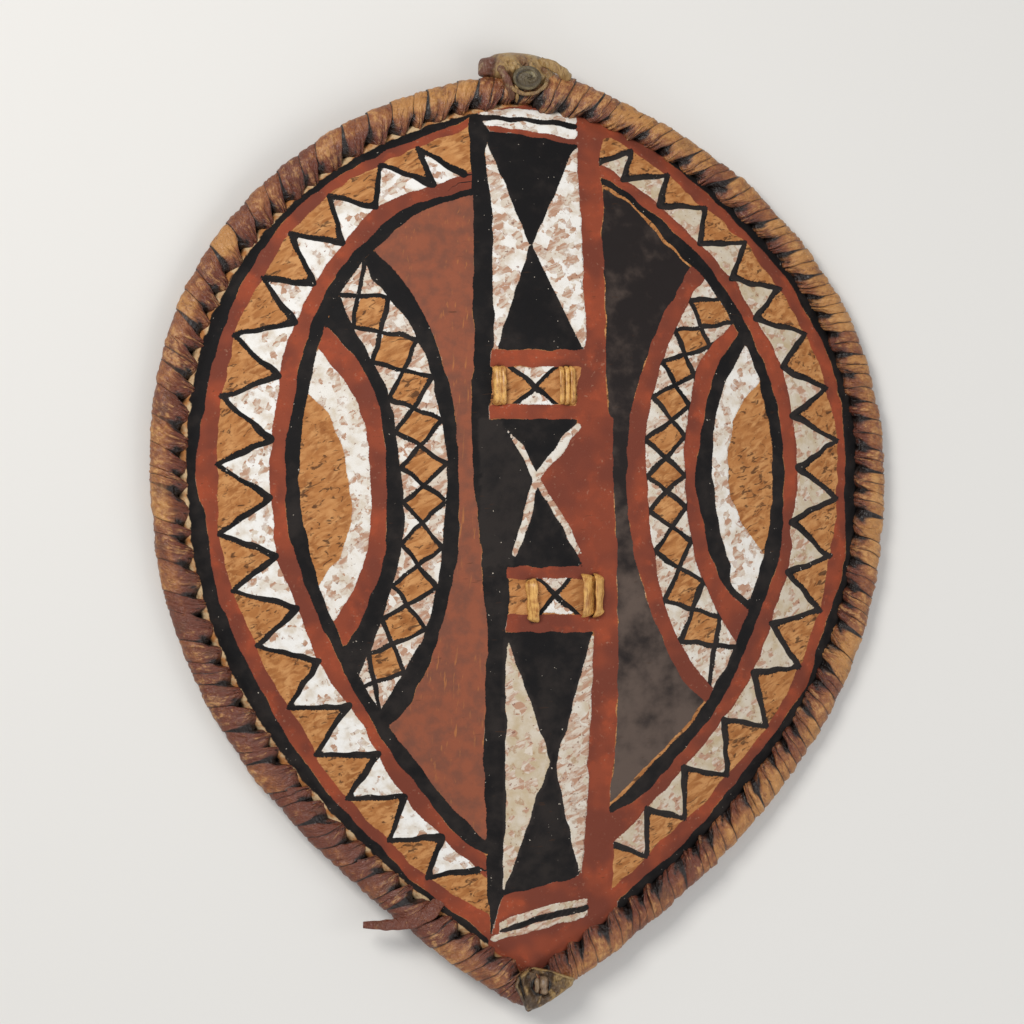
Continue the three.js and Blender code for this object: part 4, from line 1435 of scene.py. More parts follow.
@dataclass
class Sculptor:
    """Turns closed surfaces into finished pieces and keeps a note of each."""

    def add(self, name: str, shell: Shell, materials: list[bpy.types.Material], slot: str,
            replaced: tuple[str, ...]) -> None:
        """Writes a surface into a mesh and gives it its finishes and its body.

        Args:
            name: Name of the piece.
            shell: The surface, in millimetres from the widest level.
            materials: Finishes of the piece.
            slot: Not used.
            replaced: Solids that the piece stands for.
        """
        mesh = bpy.data.meshes.new(name)
        points = (shell.points + np.array(WIDEST_PLACE)) * MM
        faces = shell.quads.tolist() + shell.triangles.tolist()
        mesh.from_pydata(points.tolist(), [], faces)
        mesh.polygons.foreach_set("use_smooth", np.ones(len(faces), bool))
        for material in materials:
            mesh.materials.append(material)
        if shell.slots is not None:
            mesh.polygons.foreach_set("material_index", shell.slots.astype(np.int32))
        for key, numbers in shell.values.items():
            attribute = mesh.attributes.new(key, "FLOAT", "POINT")
            attribute.data.foreach_set("value", np.asarray(numbers, np.float32))
        mesh.update()
        piece = place_object(name, mesh)
        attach(piece, BODY)
        if replaced:
            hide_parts(*replaced)
        LOG.info("%s: %d triangles", name, 2 * len(shell.quads) + len(shell.triangles))


@dataclass
class Lashing(Fitted):
    """A thong that ties the stave to the hide: two stitches on the face, two crossings behind the stave.

    The strands of a stitch are given by their place across it and their width.
    """

    x: float
    y: float
    half_span: float
    left_strands: Points2
    right_strands: Points2
    lean: float = 0.0
    left_drop: float = 0.0
    half_length: float = 15.5
    thickness: float = 3.4
    back_depth: float = 21.0
    crossing_place: float = 12.5
    seed: int = 1

    def frame(self) -> tuple[Array, Array]:
        """Origin on the face, and the rows of the axes across, along and out of the face."""
        n = self.form.dome_normal(self.x, self.y)
        tilt = np.arctan2(-n[1], n[2])
        z = self.form.dome_height(self.x, self.y) + self.form.hide_thickness / 2.0 / n[2]
        cos, sin = np.cos(tilt), np.sin(tilt)
        axes = np.array([[1.0, 0.0, 0.0], [0.0, cos, sin], [0.0, -sin, cos]])
        return np.array([self.x, self.y, float(z)]), axes

    def fall(self, side: float) -> float:
        """How much lower the face is under a stitch than in the middle."""
        n = self.form.dome_normal(self.x, self.y)
        there = self.form.dome_height(self.x + side * self.half_span, self.y)
        return float((there - self.form.dome_height(self.x, self.y)) * n[2])

    def holes(self) -> Array:
        """Places of the four holes on the face."""
        origin, axes = self.frame()
        places = []
        for side in (-1.0, 1.0):
            for end in (-1.0, 1.0):
                local = np.array([side * self.half_span + self.lean * end * (side < 0),
                                  end * self.half_length - self.left_drop * (side < 0), self.fall(side)])
                places.append(origin + local @ axes)
        return np.array(places)

    def shell(self) -> Shell:
        """One closed loop for each winding of the thong.

        Each loop runs along the left stitch, down through the hide, across behind the stave, up
        through the hide, back along the right stitch, and across behind the stave again.
        """
        origin, axes = self.frame()
        loops = []
        top = self.thickness / 2.0 + 1.4
        for k, (left, right) in enumerate(zip(self.left_strands, self.right_strands)):
            low, high = (self.fall(side) for side in (-1.0, 1.0))
            lx, rx = left[0] - self.half_span, right[0] + self.half_span
            y, c, b = self.half_length, self.crossing_place - 2.2 * k, -self.back_depth - 0.6 * k
            lean, drop = self.lean, self.left_drop
            corners = np.array([
                [lx - lean, 2.0 - y - drop, low + top], [lx, -drop, low + top + 1.3],
                [lx + lean, y - 2.0 - drop, low + top], [lx + lean, y - drop, low - 3.0],
                [lx + lean, c, b], [0.0, c, b - 0.5], [rx, c, b], [rx, y, high - 3.0],
                [rx, y - 2.0, high + top], [rx, 0.0, high + top + 1.3], [rx, 2.0 - y, high + top],
                [rx, -y, high - 3.0], [rx, -c, b], [0.0, -c, b - 0.5], [lx - lean, -c, b],
                [lx - lean, -y - drop, low - 3.0],
            ])
            path = rounded(corners, 240, 5, True)
            middle = np.array([0.0, 0.0, -6.0])
            outward = unit(path - middle)
            outward[:, 0] *= 0.25
            world = origin + path @ axes
            random = np.random.default_rng(self.seed + k)
            swell = 1.0 + 0.06 * ripples(path, 14.0, self.seed + 7 * k)
            half = mix(left[1], right[1], smooth((path[:, 0] + 12.0) / 24.0)) / 2.0 * swell
            thick = np.full(len(path), self.thickness / 2.0) * swell * random.uniform(0.92, 1.06)
            loops.append(strand(world, outward @ axes, half, thick, 18, True, 0.05, self.seed + k))
        return Shell.joined(loops)


@dataclass
class RimBinding(Fitted):
    """The roll of the rim, bound with a soft strip whose laps lean, and pucker at the hide.

    Places along the rim are counted in laps from the lower point.

    Attributes:
        seed: Seed of the uneven laps.
        columns: Rings for each lap.
        around: Points round a ring, most of them on the side that shows.
        jitter: How far a crease strays, in laps.
        lap_step: How far a lap stands over the next one.
        swell: Height of a lap's belly, outside and at the hide.
        pinch_reach: Half width of a pinch, in laps.
        lobe: Reach of a lap's inner end, right and left, as a part of the roll's half width.
        pit: Reach of the roll in a pinch, right and left, as that part.
        gather: How far the folds of a lap draw together towards the hide.
        fold_depth: Depth of the folds, outside and at the hide.
        thick_turns: How much further the laps right of the upper end stand out.
        thick_place: Place of those laps along the rim.
        lobe_changes: Longer lobes at the lower point, and one that the cap hollows out.
        fine_folds: Where the strip is drawn into many fine folds.
        slant_changes: Where the creases lean less or more.
        golden: Where the strip is more or less golden.
        lap_length: Length of a lap along the rim, in millimetres.
        girth_radius: Millimetres of strip for each radian round the roll.
    """

    seed: int = 21
    columns: int = 22
    around: int = 42
    jitter: float = 0.24
    lap_step: float = 1.5
    swell: tuple[float, float] = (0.7, 1.8)
    pinch_reach: float = 0.17
    lobe: tuple[float, float] = (1.04, 1.32)
    pit: tuple[float, float] = (0.8, 0.62)
    gather: float = 0.5
    fold_depth: tuple[float, float] = (0.55, 1.5)
    thick_turns: float = 5.5
    thick_place: float = 50.2
    lobe_changes: Points3 = ((51.6, 0.8, -0.5), (2.5, 2.5, 0.4), (103.0, 1.5, 0.25))
    fine_folds: Points3 = ((76.0, 8.0, 1.0), (3.0, 4.0, 1.0), (103.0, 1.6, 1.0), (40.0, 7.0, 0.5))
    slant_changes: Points3 = ((26.0, 8.0, -0.3), (42.0, 6.0, 0.12))
    golden: Points3 = (
        (70.0, 8.0, 0.26), (56.0, 5.0, 0.2), (36.0, 3.0, 0.3), (3.5, 2.5, 0.3), (48.0, 4.0, 0.1),
        (92.0, 12.0, -0.1))
    lap_length: float = 23.4
    girth_radius: float = 15.0

    def random(self, salt: int, low: float, high: float) -> Array:
        """One random number for each lap."""
        return np.random.default_rng(self.seed + salt).uniform(low, high, self.form.turns)

    def creases(self) -> Array:
        """Places of the creases along the rim, in laps, unevenly spaced by hand."""
        return np.arange(self.form.turns) + self.random(0, -self.jitter, self.jitter)

    def pinches(self) -> Array:
        """How far each crease is drawn in at the hide, from 0 to 1."""
        return self.random(1, 0.55, 1.0)

    def gathered(self, place: Array) -> Array:
        """How far the strip is drawn into many fine folds, from 0 to 1."""
        return clamp(humps(place, self.fine_folds))

    def slant(self, place: Array) -> Array:
        """How many laps a crease runs on from its outer to its inner end."""
        return self.form.slant + humps(place, self.slant_changes)

    def gap(self, place: Array) -> Array:
        """How near a place along the hide's edge is to a pinch, from 0 to 1."""
        creases = self.creases()
        ends = creases + self.slant(creases)
        apart = np.abs(place[:, None] - ends[None, :])
        apart = np.minimum(apart, self.form.turns - apart)
        return (bell(apart, self.pinch_reach * 1.3) * self.pinches()).max(axis=1)

    def section(self) -> Array:
        """Angles round a ring, from the outer side over the top: three quarters lie within 200 degrees."""
        upper = self.around * 3 // 4
        top = np.radians(200.0) * np.arange(upper) / upper
        rest = np.radians(200.0) + np.radians(160.0) * np.arange(self.around - upper) / (self.around - upper)
        return np.concatenate([top, rest])

    def shell(self) -> Shell:
        """The closed roll with its laps, lobes, pits and folds.

        A ring is |u / a| ^ p + |v / b| ^ p = 1. On the inner side a and p swing between a full lobe and
        a pinched pit. On top of that each lap rises evenly to its edge and then drops to the next lap,
        swells in between, and is cut by folds of the form 1 - |sin(count * t)| that draw together
        towards the hide.
        """
        def per_lap(salt: int, low: float, high: float) -> Array:
            """One random number for each lap, given to all its rings."""
            return self.random(salt, low, high)[index][:, None]

        creases = self.creases()
        following = np.append(creases[1:], creases[0] + self.form.turns)
        t = np.linspace(0.0, 1.0, self.columns)
        t = mix(t, t - np.sin(4.0 * np.pi * t) / (4.0 * np.pi), 0.25)
        t[-1] = 1.012
        index = np.repeat(np.arange(self.form.turns), self.columns)
        lap = np.tile(t, self.form.turns)
        start, width = creases[index], (following - creases)[index]
        phi = self.section()[None, :]
        degrees = np.degrees(phi)
        cos, sin = np.cos(phi), np.sin(phi)
        inner = smooth((degrees - 72.0) / 50.0) * smooth((245.0 - degrees) / 50.0)

        pinches = self.pinches()
        after = np.append(pinches[1:], pinches[0])
        strength = np.where(lap < 0.5, pinches[index], after[index])
        from_crease = np.minimum(np.abs(lap), np.abs(1.0 - lap))
        pinch = (strength * bell(from_crease, self.pinch_reach))[:, None] * inner
        gathered = self.gathered(start)[:, None]

        left = smooth((creases - 50.0) / 8.0) * smooth((self.form.turns + 1.0 - creases) / 6.0)
        lobe = mix(*self.lobe, left) * self.random(9, 0.94, 1.06)
        lobe = (lobe * (1.0 + humps(creases, self.lobe_changes)))[index][:, None]
        pit = mix(*self.pit, left)[index][:, None]
        reach = np.where(cos < 0.0, mix(1.0, mix(lobe, np.minimum(pit, lobe), pinch), inner), 1.0)
        split = (self.random(10, 0.0, 1.0) < mix(0.75, 0.25, left))[index]
        halfway = (split * (0.55 + 0.45 * bell(lap - 0.52, 0.2)))[:, None] * bell(lap - 0.52, 0.035)[:, None]
        power = 2.0 + 1.1 * inner * (1.0 - pinch)
        u = self.form.half_width * reach * np.sign(cos) * np.abs(cos) ** (2.0 / power)
        v = self.form.half_height * np.sign(sin) * np.abs(sin) ** (2.0 / power)

        bend = per_lap(2, -0.12, 0.12)
        lean = self.slant(start)[:, None] * (1.0 - cos) / 2.0 + bend * sin**2
        drawn = lap[:, None] + self.gather * inner * np.sin(2.0 * np.pi * lap)[:, None] / (2.0 * np.pi)
        place = start[:, None] + drawn * width[:, None] + lean

        size = per_lap(3, 0.6, 1.25)
        step = self.lap_step * per_lap(4, 0.5, 1.1) * (1.0 - 0.65 * gathered)
        belly = np.sin(np.pi * clamp(lap))[:, None] ** 0.6 - 1.0
        height = step * (lap[:, None] - 0.6) + belly * size * mix(*self.swell, inner)
        count = np.round(mix(2.0, 4.6, gathered) + per_lap(5, -0.5, 1.4))
        phase = per_lap(6, 0.0, 1.0)
        folds = np.abs(np.sin(np.pi * (count * (lap[:, None] - 0.5) + phase + 0.3 * cos * (1.0 + size))))
        depth = mix(*self.fold_depth, inner) * per_lap(7, 0.35, 1.3)
        height = height - depth * (1.0 - folds) ** 1.5 - 0.9 * halfway

        along = (start + lap * width)[:, None] * self.lap_length + 0.0 * cos
        girth = phi * self.girth_radius + 0.0 * along
        cloth = np.stack([along, girth * 0.16], axis=-1).reshape(-1, 2)
        crinkle = ripples(cloth, 6.5, 33).reshape(along.shape) * mix(0.2, 0.42, inner)
        flat = self.form.rim_point(place, u, v).reshape(-1, 3)
        lumps = (ripples(flat, 34.0, 32) * 0.55 + ripples(flat, 11.0, 31) * 0.2).reshape(along.shape)
        thick = self.thick_turns * bell(start - self.thick_place, 1.7)[:, None] * smooth((v + 6.0) / 12.0)
        height = height + crinkle + lumps + thick
        scale = 1.0 + height / np.hypot(u, v)
        rings = self.form.rim_point(place, u * scale, v * scale)
        rings[..., 2] = np.maximum(rings[..., 2], 0.05)

        # Painted shade: the crease value darkens the edge of each lap, the halfway fold, the pinched pits and
        # the valleys of the folds, most on the side towards the hide
        edge_line = bell(from_crease, 0.03)[:, None] * (0.95 - 0.5 * gathered)
        crease = edge_line + 0.6 * halfway + pinch * 0.95 + (1.0 - folds) ** 2.5 * mix(0.12, 0.7, inner)
        # Painted highlight, partly rubbed wear: raised parts of the laps get a higher crest value, which the
        # material makes lighter
        light = clamp(0.5 + (height + 0.6) / 3.0)
        # Painted light: the laps of the right half of the rim are made more golden
        lit_side = 0.2 * smooth((54.0 - start) / 8.0) * smooth((start - 2.0) / 10.0)
        # Painted shade: the side of the roll towards the hide is made darker
        under = 0.32 + 0.12 * left[index][:, None]
        tone = 0.24 - 0.06 * left[index][:, None] + (humps(start, self.golden) + lit_side)[:, None]
        tone = tone + per_lap(8, -0.24, 0.24) - under * inner
        shade = inner + 0.0 * along
        values = {"crease": clamp(crease), "tone": tone, "crest": light, "along": along,
                  "girth": girth, "inner": shade}
        return loft(rings, {name: value + 0.0 * along for name, value in values.items()}, closed=True)


@dataclass
class PaintedHide(Fitted):
    """The domed hide: a fine painted front, a plainer raw back, and the cut edge between them.

    Attributes:
        columns: Points of the front across.
        rows: Points of the front along.
        warp: How far the brush strays, in millimetres.
        hole_depth: Depth of the dents where the thongs go through.
        hole_reach: Reach of those dents across.
        hem_drop: How far the binding presses the edge down.
        pit_depth: Depth of the pits between the laps.
    """

    columns: int = 241
    rows: int = 301
    warp: float = 1.1
    hole_depth: float = 2.4
    hole_reach: float = 3.0
    hem_drop: float = 2.6
    pit_depth: float = 5.0

    def plan(self, columns: int, rows: int) -> Array:
        """Grid points of the plan: a square is bent to a disc, and each ray of it is run out to the edge.

        The disc is x = a * sqrt(1 - b^2 / 2), y = b * sqrt(1 - a^2 / 2) for a and b from -1 to 1.

        Args:
            columns: Points across.
            rows: Points along.

        Returns:
            One row for each point.
        """
        a, b = np.meshgrid(np.linspace(-1.0, 1.0, columns), np.linspace(-1.0, 1.0, rows))
        x = a * np.sqrt(1.0 - b**2 / 2.0)
        y = b * np.sqrt(1.0 - a**2 / 2.0)
        radius, _ = self.form.edge_at(np.arctan2(y, x))
        return np.stack([x * radius, y * radius], axis=-1).reshape(-1, 2)

    def side(self, plan: Array, offset: float) -> Array:
        """Points of one face, offset from the middle of the hide along the dome's normal."""
        x, y = plan.T
        place = np.column_stack([x, y, self.form.dome_height(x, y)])
        return place + offset * self.form.dome_normal(x, y)

    @staticmethod
    def border(columns: int, rows: int) -> Array:
        """Numbers of the border points of a grid, once round it.

        Args:
            columns: Points across.
            rows: Points along.

        Returns:
            The numbers.
        """
        bottom = np.arange(columns - 1)
        right = np.arange(rows - 1) * columns + columns - 1
        top = (rows - 1) * columns + np.arange(columns - 1, 0, -1)
        left = np.arange(rows - 1, 0, -1) * columns
        return np.concatenate([bottom, right, top, left])

    def dents(self, front: Array, lashings: list[Lashing]) -> Array:
        """How near each point is to a hole of a lashing, from 0 to 1.

        Args:
            front: Points of the front.
            lashings: Lashings that go through it.

        Returns:
            One value for each point.
        """
        pit = np.zeros(len(front))
        for hole in np.concatenate([lashing.holes() for lashing in lashings]):
            reach = np.hypot((front[:, 0] - hole[0]) / 1.9, front[:, 1] - hole[1])
            pit = np.maximum(pit, bell(reach, self.hole_reach))
        return pit

    def shell(self, view: PhotoView, pattern: PaintedPattern, lashings: list[Lashing],
              rim: RimBinding) -> Shell:
        """The whole hide, with the painted areas as values on the front.

        Args:
            view: View in which the pattern was measured.
            pattern: The painted pattern.
            lashings: Lashings that go through the hide.
            rim: The binding, whose pinches leave pits.

        Returns:
            The hide.
        """
        half = self.form.hide_thickness / 2.0
        front = self.side(self.plan(self.columns, self.rows), half)
        back_columns, back_rows = self.columns // 2 + 1, self.rows // 2 + 1
        back = self.side(self.plan(back_columns, back_rows), -half)
        edge, place = self.form.rim_distance(front)
        inner = smooth((edge - 12.0) / 30.0)
        front[:, 2] += inner * 0.5 * ripples(front[:, :2], 70.0, 5)
        back[:, 2] += 0.5 * ripples(back[:, :2], 50.0, 6)

        u, v = view.seen_at(front)
        u = u + self.warp * 0.5 * ripples(front[:, :2], 26.0, 8)
        v = v + self.warp * 0.5 * ripples(front[:, :2], 26.0, 9)
        canvas = pattern.paint(u, v)

        pit = self.dents(front, lashings)
        gap = rim.gap(place) * bell(edge - 9.0, 3.6) * (edge < 40.0)
        front[:, 2] -= (self.hole_depth * pit + self.pit_depth * gap
                        + self.hem_drop * smooth((24.0 - edge) / 11.0) * smooth((edge - 3.0) / 4.0))
        right = smooth((front[:, 0] + 60.0) / 120.0) * smooth((front[:, 1] + 500.0) / 40.0)

        count = len(front)
        unpainted = np.full(len(back), -NEAR)
        values = {paint.value: np.concatenate([canvas.areas[paint], unpainted]) for paint in Paint}
        low = smooth((200.0 - front[:, 1]) / 500.0)
        numbers = {"wear": canvas.wear, "grime": canvas.grime, "low": low, "edge": edge + 0.6 + 7.0 * right}
        for name, value in {**numbers, **canvas.lines}.items():
            values[name] = np.concatenate([value, -unpainted])
        # Painted shade: the dents of the thong holes and the pits between the binding's laps get a pit value,
        # which the materials darken
        values["pit"] = np.concatenate([np.maximum(smooth(pit * 1.6 - 0.5), smooth(gap * 2.2 - 0.4)),
                                        np.zeros(len(back))])

        front_quads = grid_quads(self.rows, self.columns, False, False)
        back_quads = grid_quads(back_rows, back_columns, False, False)[:, ::-1] + count
        f = self.border(self.columns, self.rows)
        b = self.border(back_columns, back_rows) + count
        first, second, third = f[0::2], f[1::2], np.roll(f[0::2], -1)
        following = np.roll(b, -1)
        strip = np.concatenate([np.column_stack([second, first, b]), np.column_stack([following, second, b]),
                                np.column_stack([third, second, following])])
        slots = np.concatenate([np.zeros(len(front_quads)), np.ones(len(back_quads)), np.ones(len(strip))])
        return Shell(np.concatenate([front, back]), np.concatenate([front_quads, back_quads]), strip, values,
                     slots).outward()


@dataclass
class BindingTail(Fitted):
    """The loose end of the binding strip, which comes over the rim and tapers away from it."""

    path: tuple[tuple[float, float, float, float], ...] = (
        (-80, -384, 9.5, 13), (-92, -398, 13.0, 13), (-110, -406.5, 10.5, 12), (-131, -408.5, 6.5, 9.5),
        (-151, -408, 5, 6))
    thickness: float = 3.0
    rings: int = 60

    def shell(self) -> Shell:
        """A flat strip with curled edges and a ragged taper."""
        path = np.array(self.path, float)
        places = rounded(path, self.rings, 6, False)
        level = self.form.half_height + self.form.tip_lift(places[:, 1]) + places[:, 2] + self.thickness / 2.0
        centre = np.column_stack([places[:, :2], level])
        up = np.tile([0.0, 0.3, 1.0], (len(centre), 1))
        half = places[:, 3] / 2.0 * (1.0 + 0.05 * ripples(centre, 9.0, 3))
        piece = strand(centre, up, half, np.full(self.rings, self.thickness / 2.0), 24, False, 0.1, 4)
        return leathery(piece, 0.0, 0.0, 0.3)


@dataclass
class GripStave(Fitted):
    """The whittled stave behind the hide, whose middle stands away from it as a hand grip."""

    line: Points2 = ((-8, 305), (-10.5, 69.5), (16.5, -115), (7, -438))
    foot_width: float = 30.0
    end_width: float = 21.0
    thickness: float = 13.0
    end_thickness: float = 9.0
    grip_width: float = 27.0
    grip_thickness: float = 20.0
    grip_back: float = 33.0
    foot_half_length: float = 22.0
    back_ramp: float = 24.0
    front_ramp_start: float = 13.0
    front_ramp: float = 23.0
    seat: float = 0.6
    rings: int = 260
    sides: int = 48
    squareness: float = 3.2

    def shell(self, upper: Lashing, lower: Lashing) -> Shell:
        """Cross-sections over y: |x / a| ^ n + |z / b| ^ n = 1, with shallow knife cuts along them.

        Args:
            upper: The upper lashing.
            lower: The lower lashing.

        Returns:
            The stave.
        """
        ends = (self.line[0][1], self.line[-1][1])
        y = np.linspace(ends[0] - 1.0, ends[1] + 1.0, self.rings)
        x = np.zeros_like(y)
        for (x0, y0), (x1, y1) in zip(self.line[:-1], self.line[1:]):
            inside = (y <= y0) & (y >= y1)
            x[inside] = mix(x0, x1, smooth((y0 - y[inside]) / (y0 - y1)))
        from_upper = upper.y - self.foot_half_length - y
        from_lower = y - (lower.y + self.foot_half_length)
        grip = smooth(np.minimum(from_upper, from_lower) / self.back_ramp)
        front_grip = smooth((np.minimum(from_upper, from_lower) - self.front_ramp_start) / self.front_ramp)
        foot_end = np.where(y > 0.0, upper.y + self.foot_half_length, lower.y - self.foot_half_length)
        end = np.where(y > 0.0, ends[0], ends[1])
        taper = smooth((y - foot_end) / (end - foot_end))
        width = mix(mix(self.foot_width, self.end_width, taper), self.grip_width, grip)
        thickness = mix(self.thickness, self.end_thickness, taper)
        n = self.form.dome_normal(x, y)[:, 2]
        foot_front = self.form.dome_height(x, y) - (self.form.hide_thickness / 2.0 + self.seat) / n
        front = mix(foot_front, self.grip_back + self.grip_thickness, front_grip)
        back = mix(foot_front - thickness / n, self.grip_back, grip)
        turn = full_turn(self.sides)
        circle = np.stack([np.cos(turn), np.sin(turn)])
        section = np.sign(circle) * np.abs(circle) ** (2.0 / self.squareness)
        close = np.minimum(1.0, np.sqrt(from_ends(self.rings) / 6.0 + 0.2))
        half_w = width / 2.0 * close
        half_t = (front - back) / 2.0 * close
        middle = (front + back) / 2.0
        rings = np.stack([x[:, None] + half_w[:, None] * section[0], y[:, None] + 0.0 * section[0],
                          middle[:, None] + half_t[:, None] * section[1]], axis=-1)
        flat = rings.reshape(-1, 3) * np.array([1.0, 0.25, 1.0])
        cuts = ripples(flat, 9.0, 44).reshape(rings.shape[:2])
        outward = unit(rings - np.stack([x, y, middle], axis=-1)[:, None, :])
        rings -= outward * (0.35 * np.abs(cuts))[..., None]
        return loft(rings)


def padded_rings(outline: Array, centre: Array, profile: Array) -> tuple[Array, Array]:
    """Rings at height 0 that go out from a point to an outline and come back, and the share of each ring.

    Args:
        outline: Points of the outline.
        centre: The point in the middle.
        profile: Share of the way out for each ring of the upper side.

    Returns:
        The rings and their shares.
    """
    share = np.concatenate([profile, profile[::-1]])
    plan = centre + (outline[None] - centre) * share[:, None, None]
    return np.concatenate([plan, np.zeros((*plan.shape[:2], 1))], axis=-1), share


@dataclass
class UpperCap(Fitted):
    """The leather lump over the upper end: a wrinkled cushion, a flap, a swirled knot and thong ends."""

    outline: Points2 = (
        (-45.7, 360.6), (-43.5, 365.2), (-35.5, 366.5), (-30.3, 369.5), (-16.7, 371.0), (-2.3, 370.0),
        (9.5, 368), (18.0, 362.0), (24.5, 355.0), (24.5, 346.0), (17.2, 338.2), (4.3, 333.0),
        (-9.3, 333.4), (-20.3, 340.5), (-28.6, 346.0), (-36.8, 347.0), (-45.9, 349.6))
    middle: tuple[float, float] = (-9.0, 351.0)
    flap_edge: float = -34.0
    bulge: float = 23.0
    knot_place: Vector3 = (-5.5, 345.5, 24.0)
    knot_radius: float = 12.0
    knot_rings: int = 40
    thread_rings: int = 60
    rings: int = 70
    sides: int = 144
    threads: tuple[tuple[Points3, float, float], ...] = (
        (((6, 362, 14), (17, 358, 19), (27, 352, 18), (35, 346, 9)), 9.5, 0.75),
        (((-31, 356, 20), (-25, 346, 22), (-19, 334, 17), (-17, 327, 8)), 8.0, 0.12),
        (((-15.5, 340, 19), (-13.8, 335, 18), (-13.2, 330, 14), (-12.6, 325, 6)), 3.4, 1.1),
        (((-24, 343, 20), (-18, 335.5, 19), (-8, 331.2, 18.5), (3, 332.5, 19), (11, 338.5, 20), (14, 347, 19)),
         4.4, 0.5))

    def cover(self) -> Shell:
        """The cushion (bulge * (1 - share ^ 3) ^ 0.55 over the plan) and the strips beside it."""
        level = self.form.half_height + self.form.upper_lift[0]
        outline = rounded(np.array(self.outline, float), self.sides, 2, True)
        rings, share = padded_rings(outline, np.array(self.middle), np.linspace(0.03, 1.0, self.rings) ** 0.7)
        x, y = rings[..., 0], rings[..., 1]
        s = share[:, None] + 0.0 * x
        top = (np.arange(len(share)) < self.rings)[:, None]
        flat = np.stack([x, y], axis=-1).reshape(-1, 2)
        narrow = flat * np.array([1.0, 0.35])
        waves = (ripples(flat, 15.0, 51), ripples(narrow, 6.0, 52), ripples(flat, 5.0, 53))
        lumps, upright, nubs = (wave.reshape(x.shape) for wave in waves)
        fold = bell(x - self.flap_edge - 0.35 * (y - 358.0), 2.2)
        gather = bell(y - 357.0, 7.0) * bell(x + 8.0, 16.0)
        sink = bell(np.hypot(x - self.knot_place[0], y - self.knot_place[1]), self.knot_radius * 0.9)
        body = self.bulge * clamp(1.0 - s**3.0) ** 0.55
        lower_left = smooth((self.flap_edge + 4.0 - x) / 6.0)
        relief = 1.3 * lumps + (0.5 + 1.5 * gather) * np.abs(upright) + 0.45 * nubs - 3.5 * fold - 3.0 * sink
        height = np.where(top, body * (1.0 - 0.25 * lower_left) + relief * clamp(1.2 - s), 0.0)
        rings[..., 2] = level - 3.0 + height
        cushion = loft(rings, closed=True)
        # Painted shade in the flap's fold, in the gathers and round the knot, and painted highlights on the
        # lumps and gathers; the part left of the flap's edge is darker
        crease = 0.4 * fold + gather * clamp(0.5 - np.abs(upright)) + 0.5 * sink
        tone = 0.62 + 0.08 * lumps - 0.62 * lower_left
        crest = clamp(0.4 + 0.3 * lumps + 0.35 * gather * np.abs(upright))
        parts = [leathery(cushion, crease.reshape(-1), tone.reshape(-1), crest.reshape(-1))]
        for k, (points, width, tone) in enumerate(self.threads):
            path = rounded(np.array(points, float) + np.array([0.0, 0.0, level]), self.thread_rings, 5, False)
            ease = np.minimum(1.0, from_ends(self.thread_rings) / 6.0 + 0.3)
            up = np.tile([0.0, -0.3, 1.0], (self.thread_rings, 1))
            swell = ease * (1.0 + 0.1 * ripples(path, 8.0, 55 + k))
            strip = strand(path, up, width / 2.0 * swell, (1.2 + width * 0.16) * swell, 20, False, 0.12, 5 + k)
            parts.append(leathery(strip, 0.0, tone, 0.5))
        return Shell.joined(parts)

    def knot(self) -> Shell:
        """A flat disc with a spiral ridge: the ridge runs where angle - twist * share is a whole turn."""
        level = self.form.half_height + self.form.upper_lift[0]
        x0, y0, lift = self.knot_place
        turn = full_turn(self.sides)
        outline = np.column_stack([x0 + self.knot_radius * 1.08 * np.cos(turn),
                                   y0 + self.knot_radius * 0.9 * np.sin(turn)])
        rings, share = padded_rings(outline, np.array([x0, y0]), np.linspace(0.03, 1.0, self.knot_rings))
        top = (np.arange(len(share)) < self.knot_rings)[:, None]
        s = share[:, None] + 0.0 * turn
        phase = np.mod(turn[None, :] - 2.0 * np.pi * 0.95 * s - 0.6, 2.0 * np.pi)
        ridge = bell(phase - 2.2, 0.8)
        groove = bell(phase - 4.2, 0.7) * smooth(s / 0.3)
        height = 5.0 * np.sqrt(clamp(1.0 - s**2.5)) + (1.9 * ridge - 1.5 * groove) * (1.0 - s**4)
        rings[..., 2] = level + lift - 2.0 + np.where(top, height, -3.0)
        disc = loft(rings, closed=True)
        # Painted shade in the spiral groove and in a band near the edge below; painted highlight on the spiral
        # ridge; a crescent at the upper right and the outer edge below are lighter
        below = bell(turn - 4.6, 1.5)
        cup = smooth((s - 0.76) / 0.12) * below
        crescent = bell(s - 0.42, 0.12) * bell(turn - 0.9, 1.0)
        return leathery(disc, (groove * 0.5 + 0.4 * bell(s - 0.7, 0.1) * below).reshape(-1),
                        (0.12 + 0.2 * ridge + 0.45 * cup + 0.9 * crescent).reshape(-1),
                        clamp(crescent + 0.4 * cup).reshape(-1))


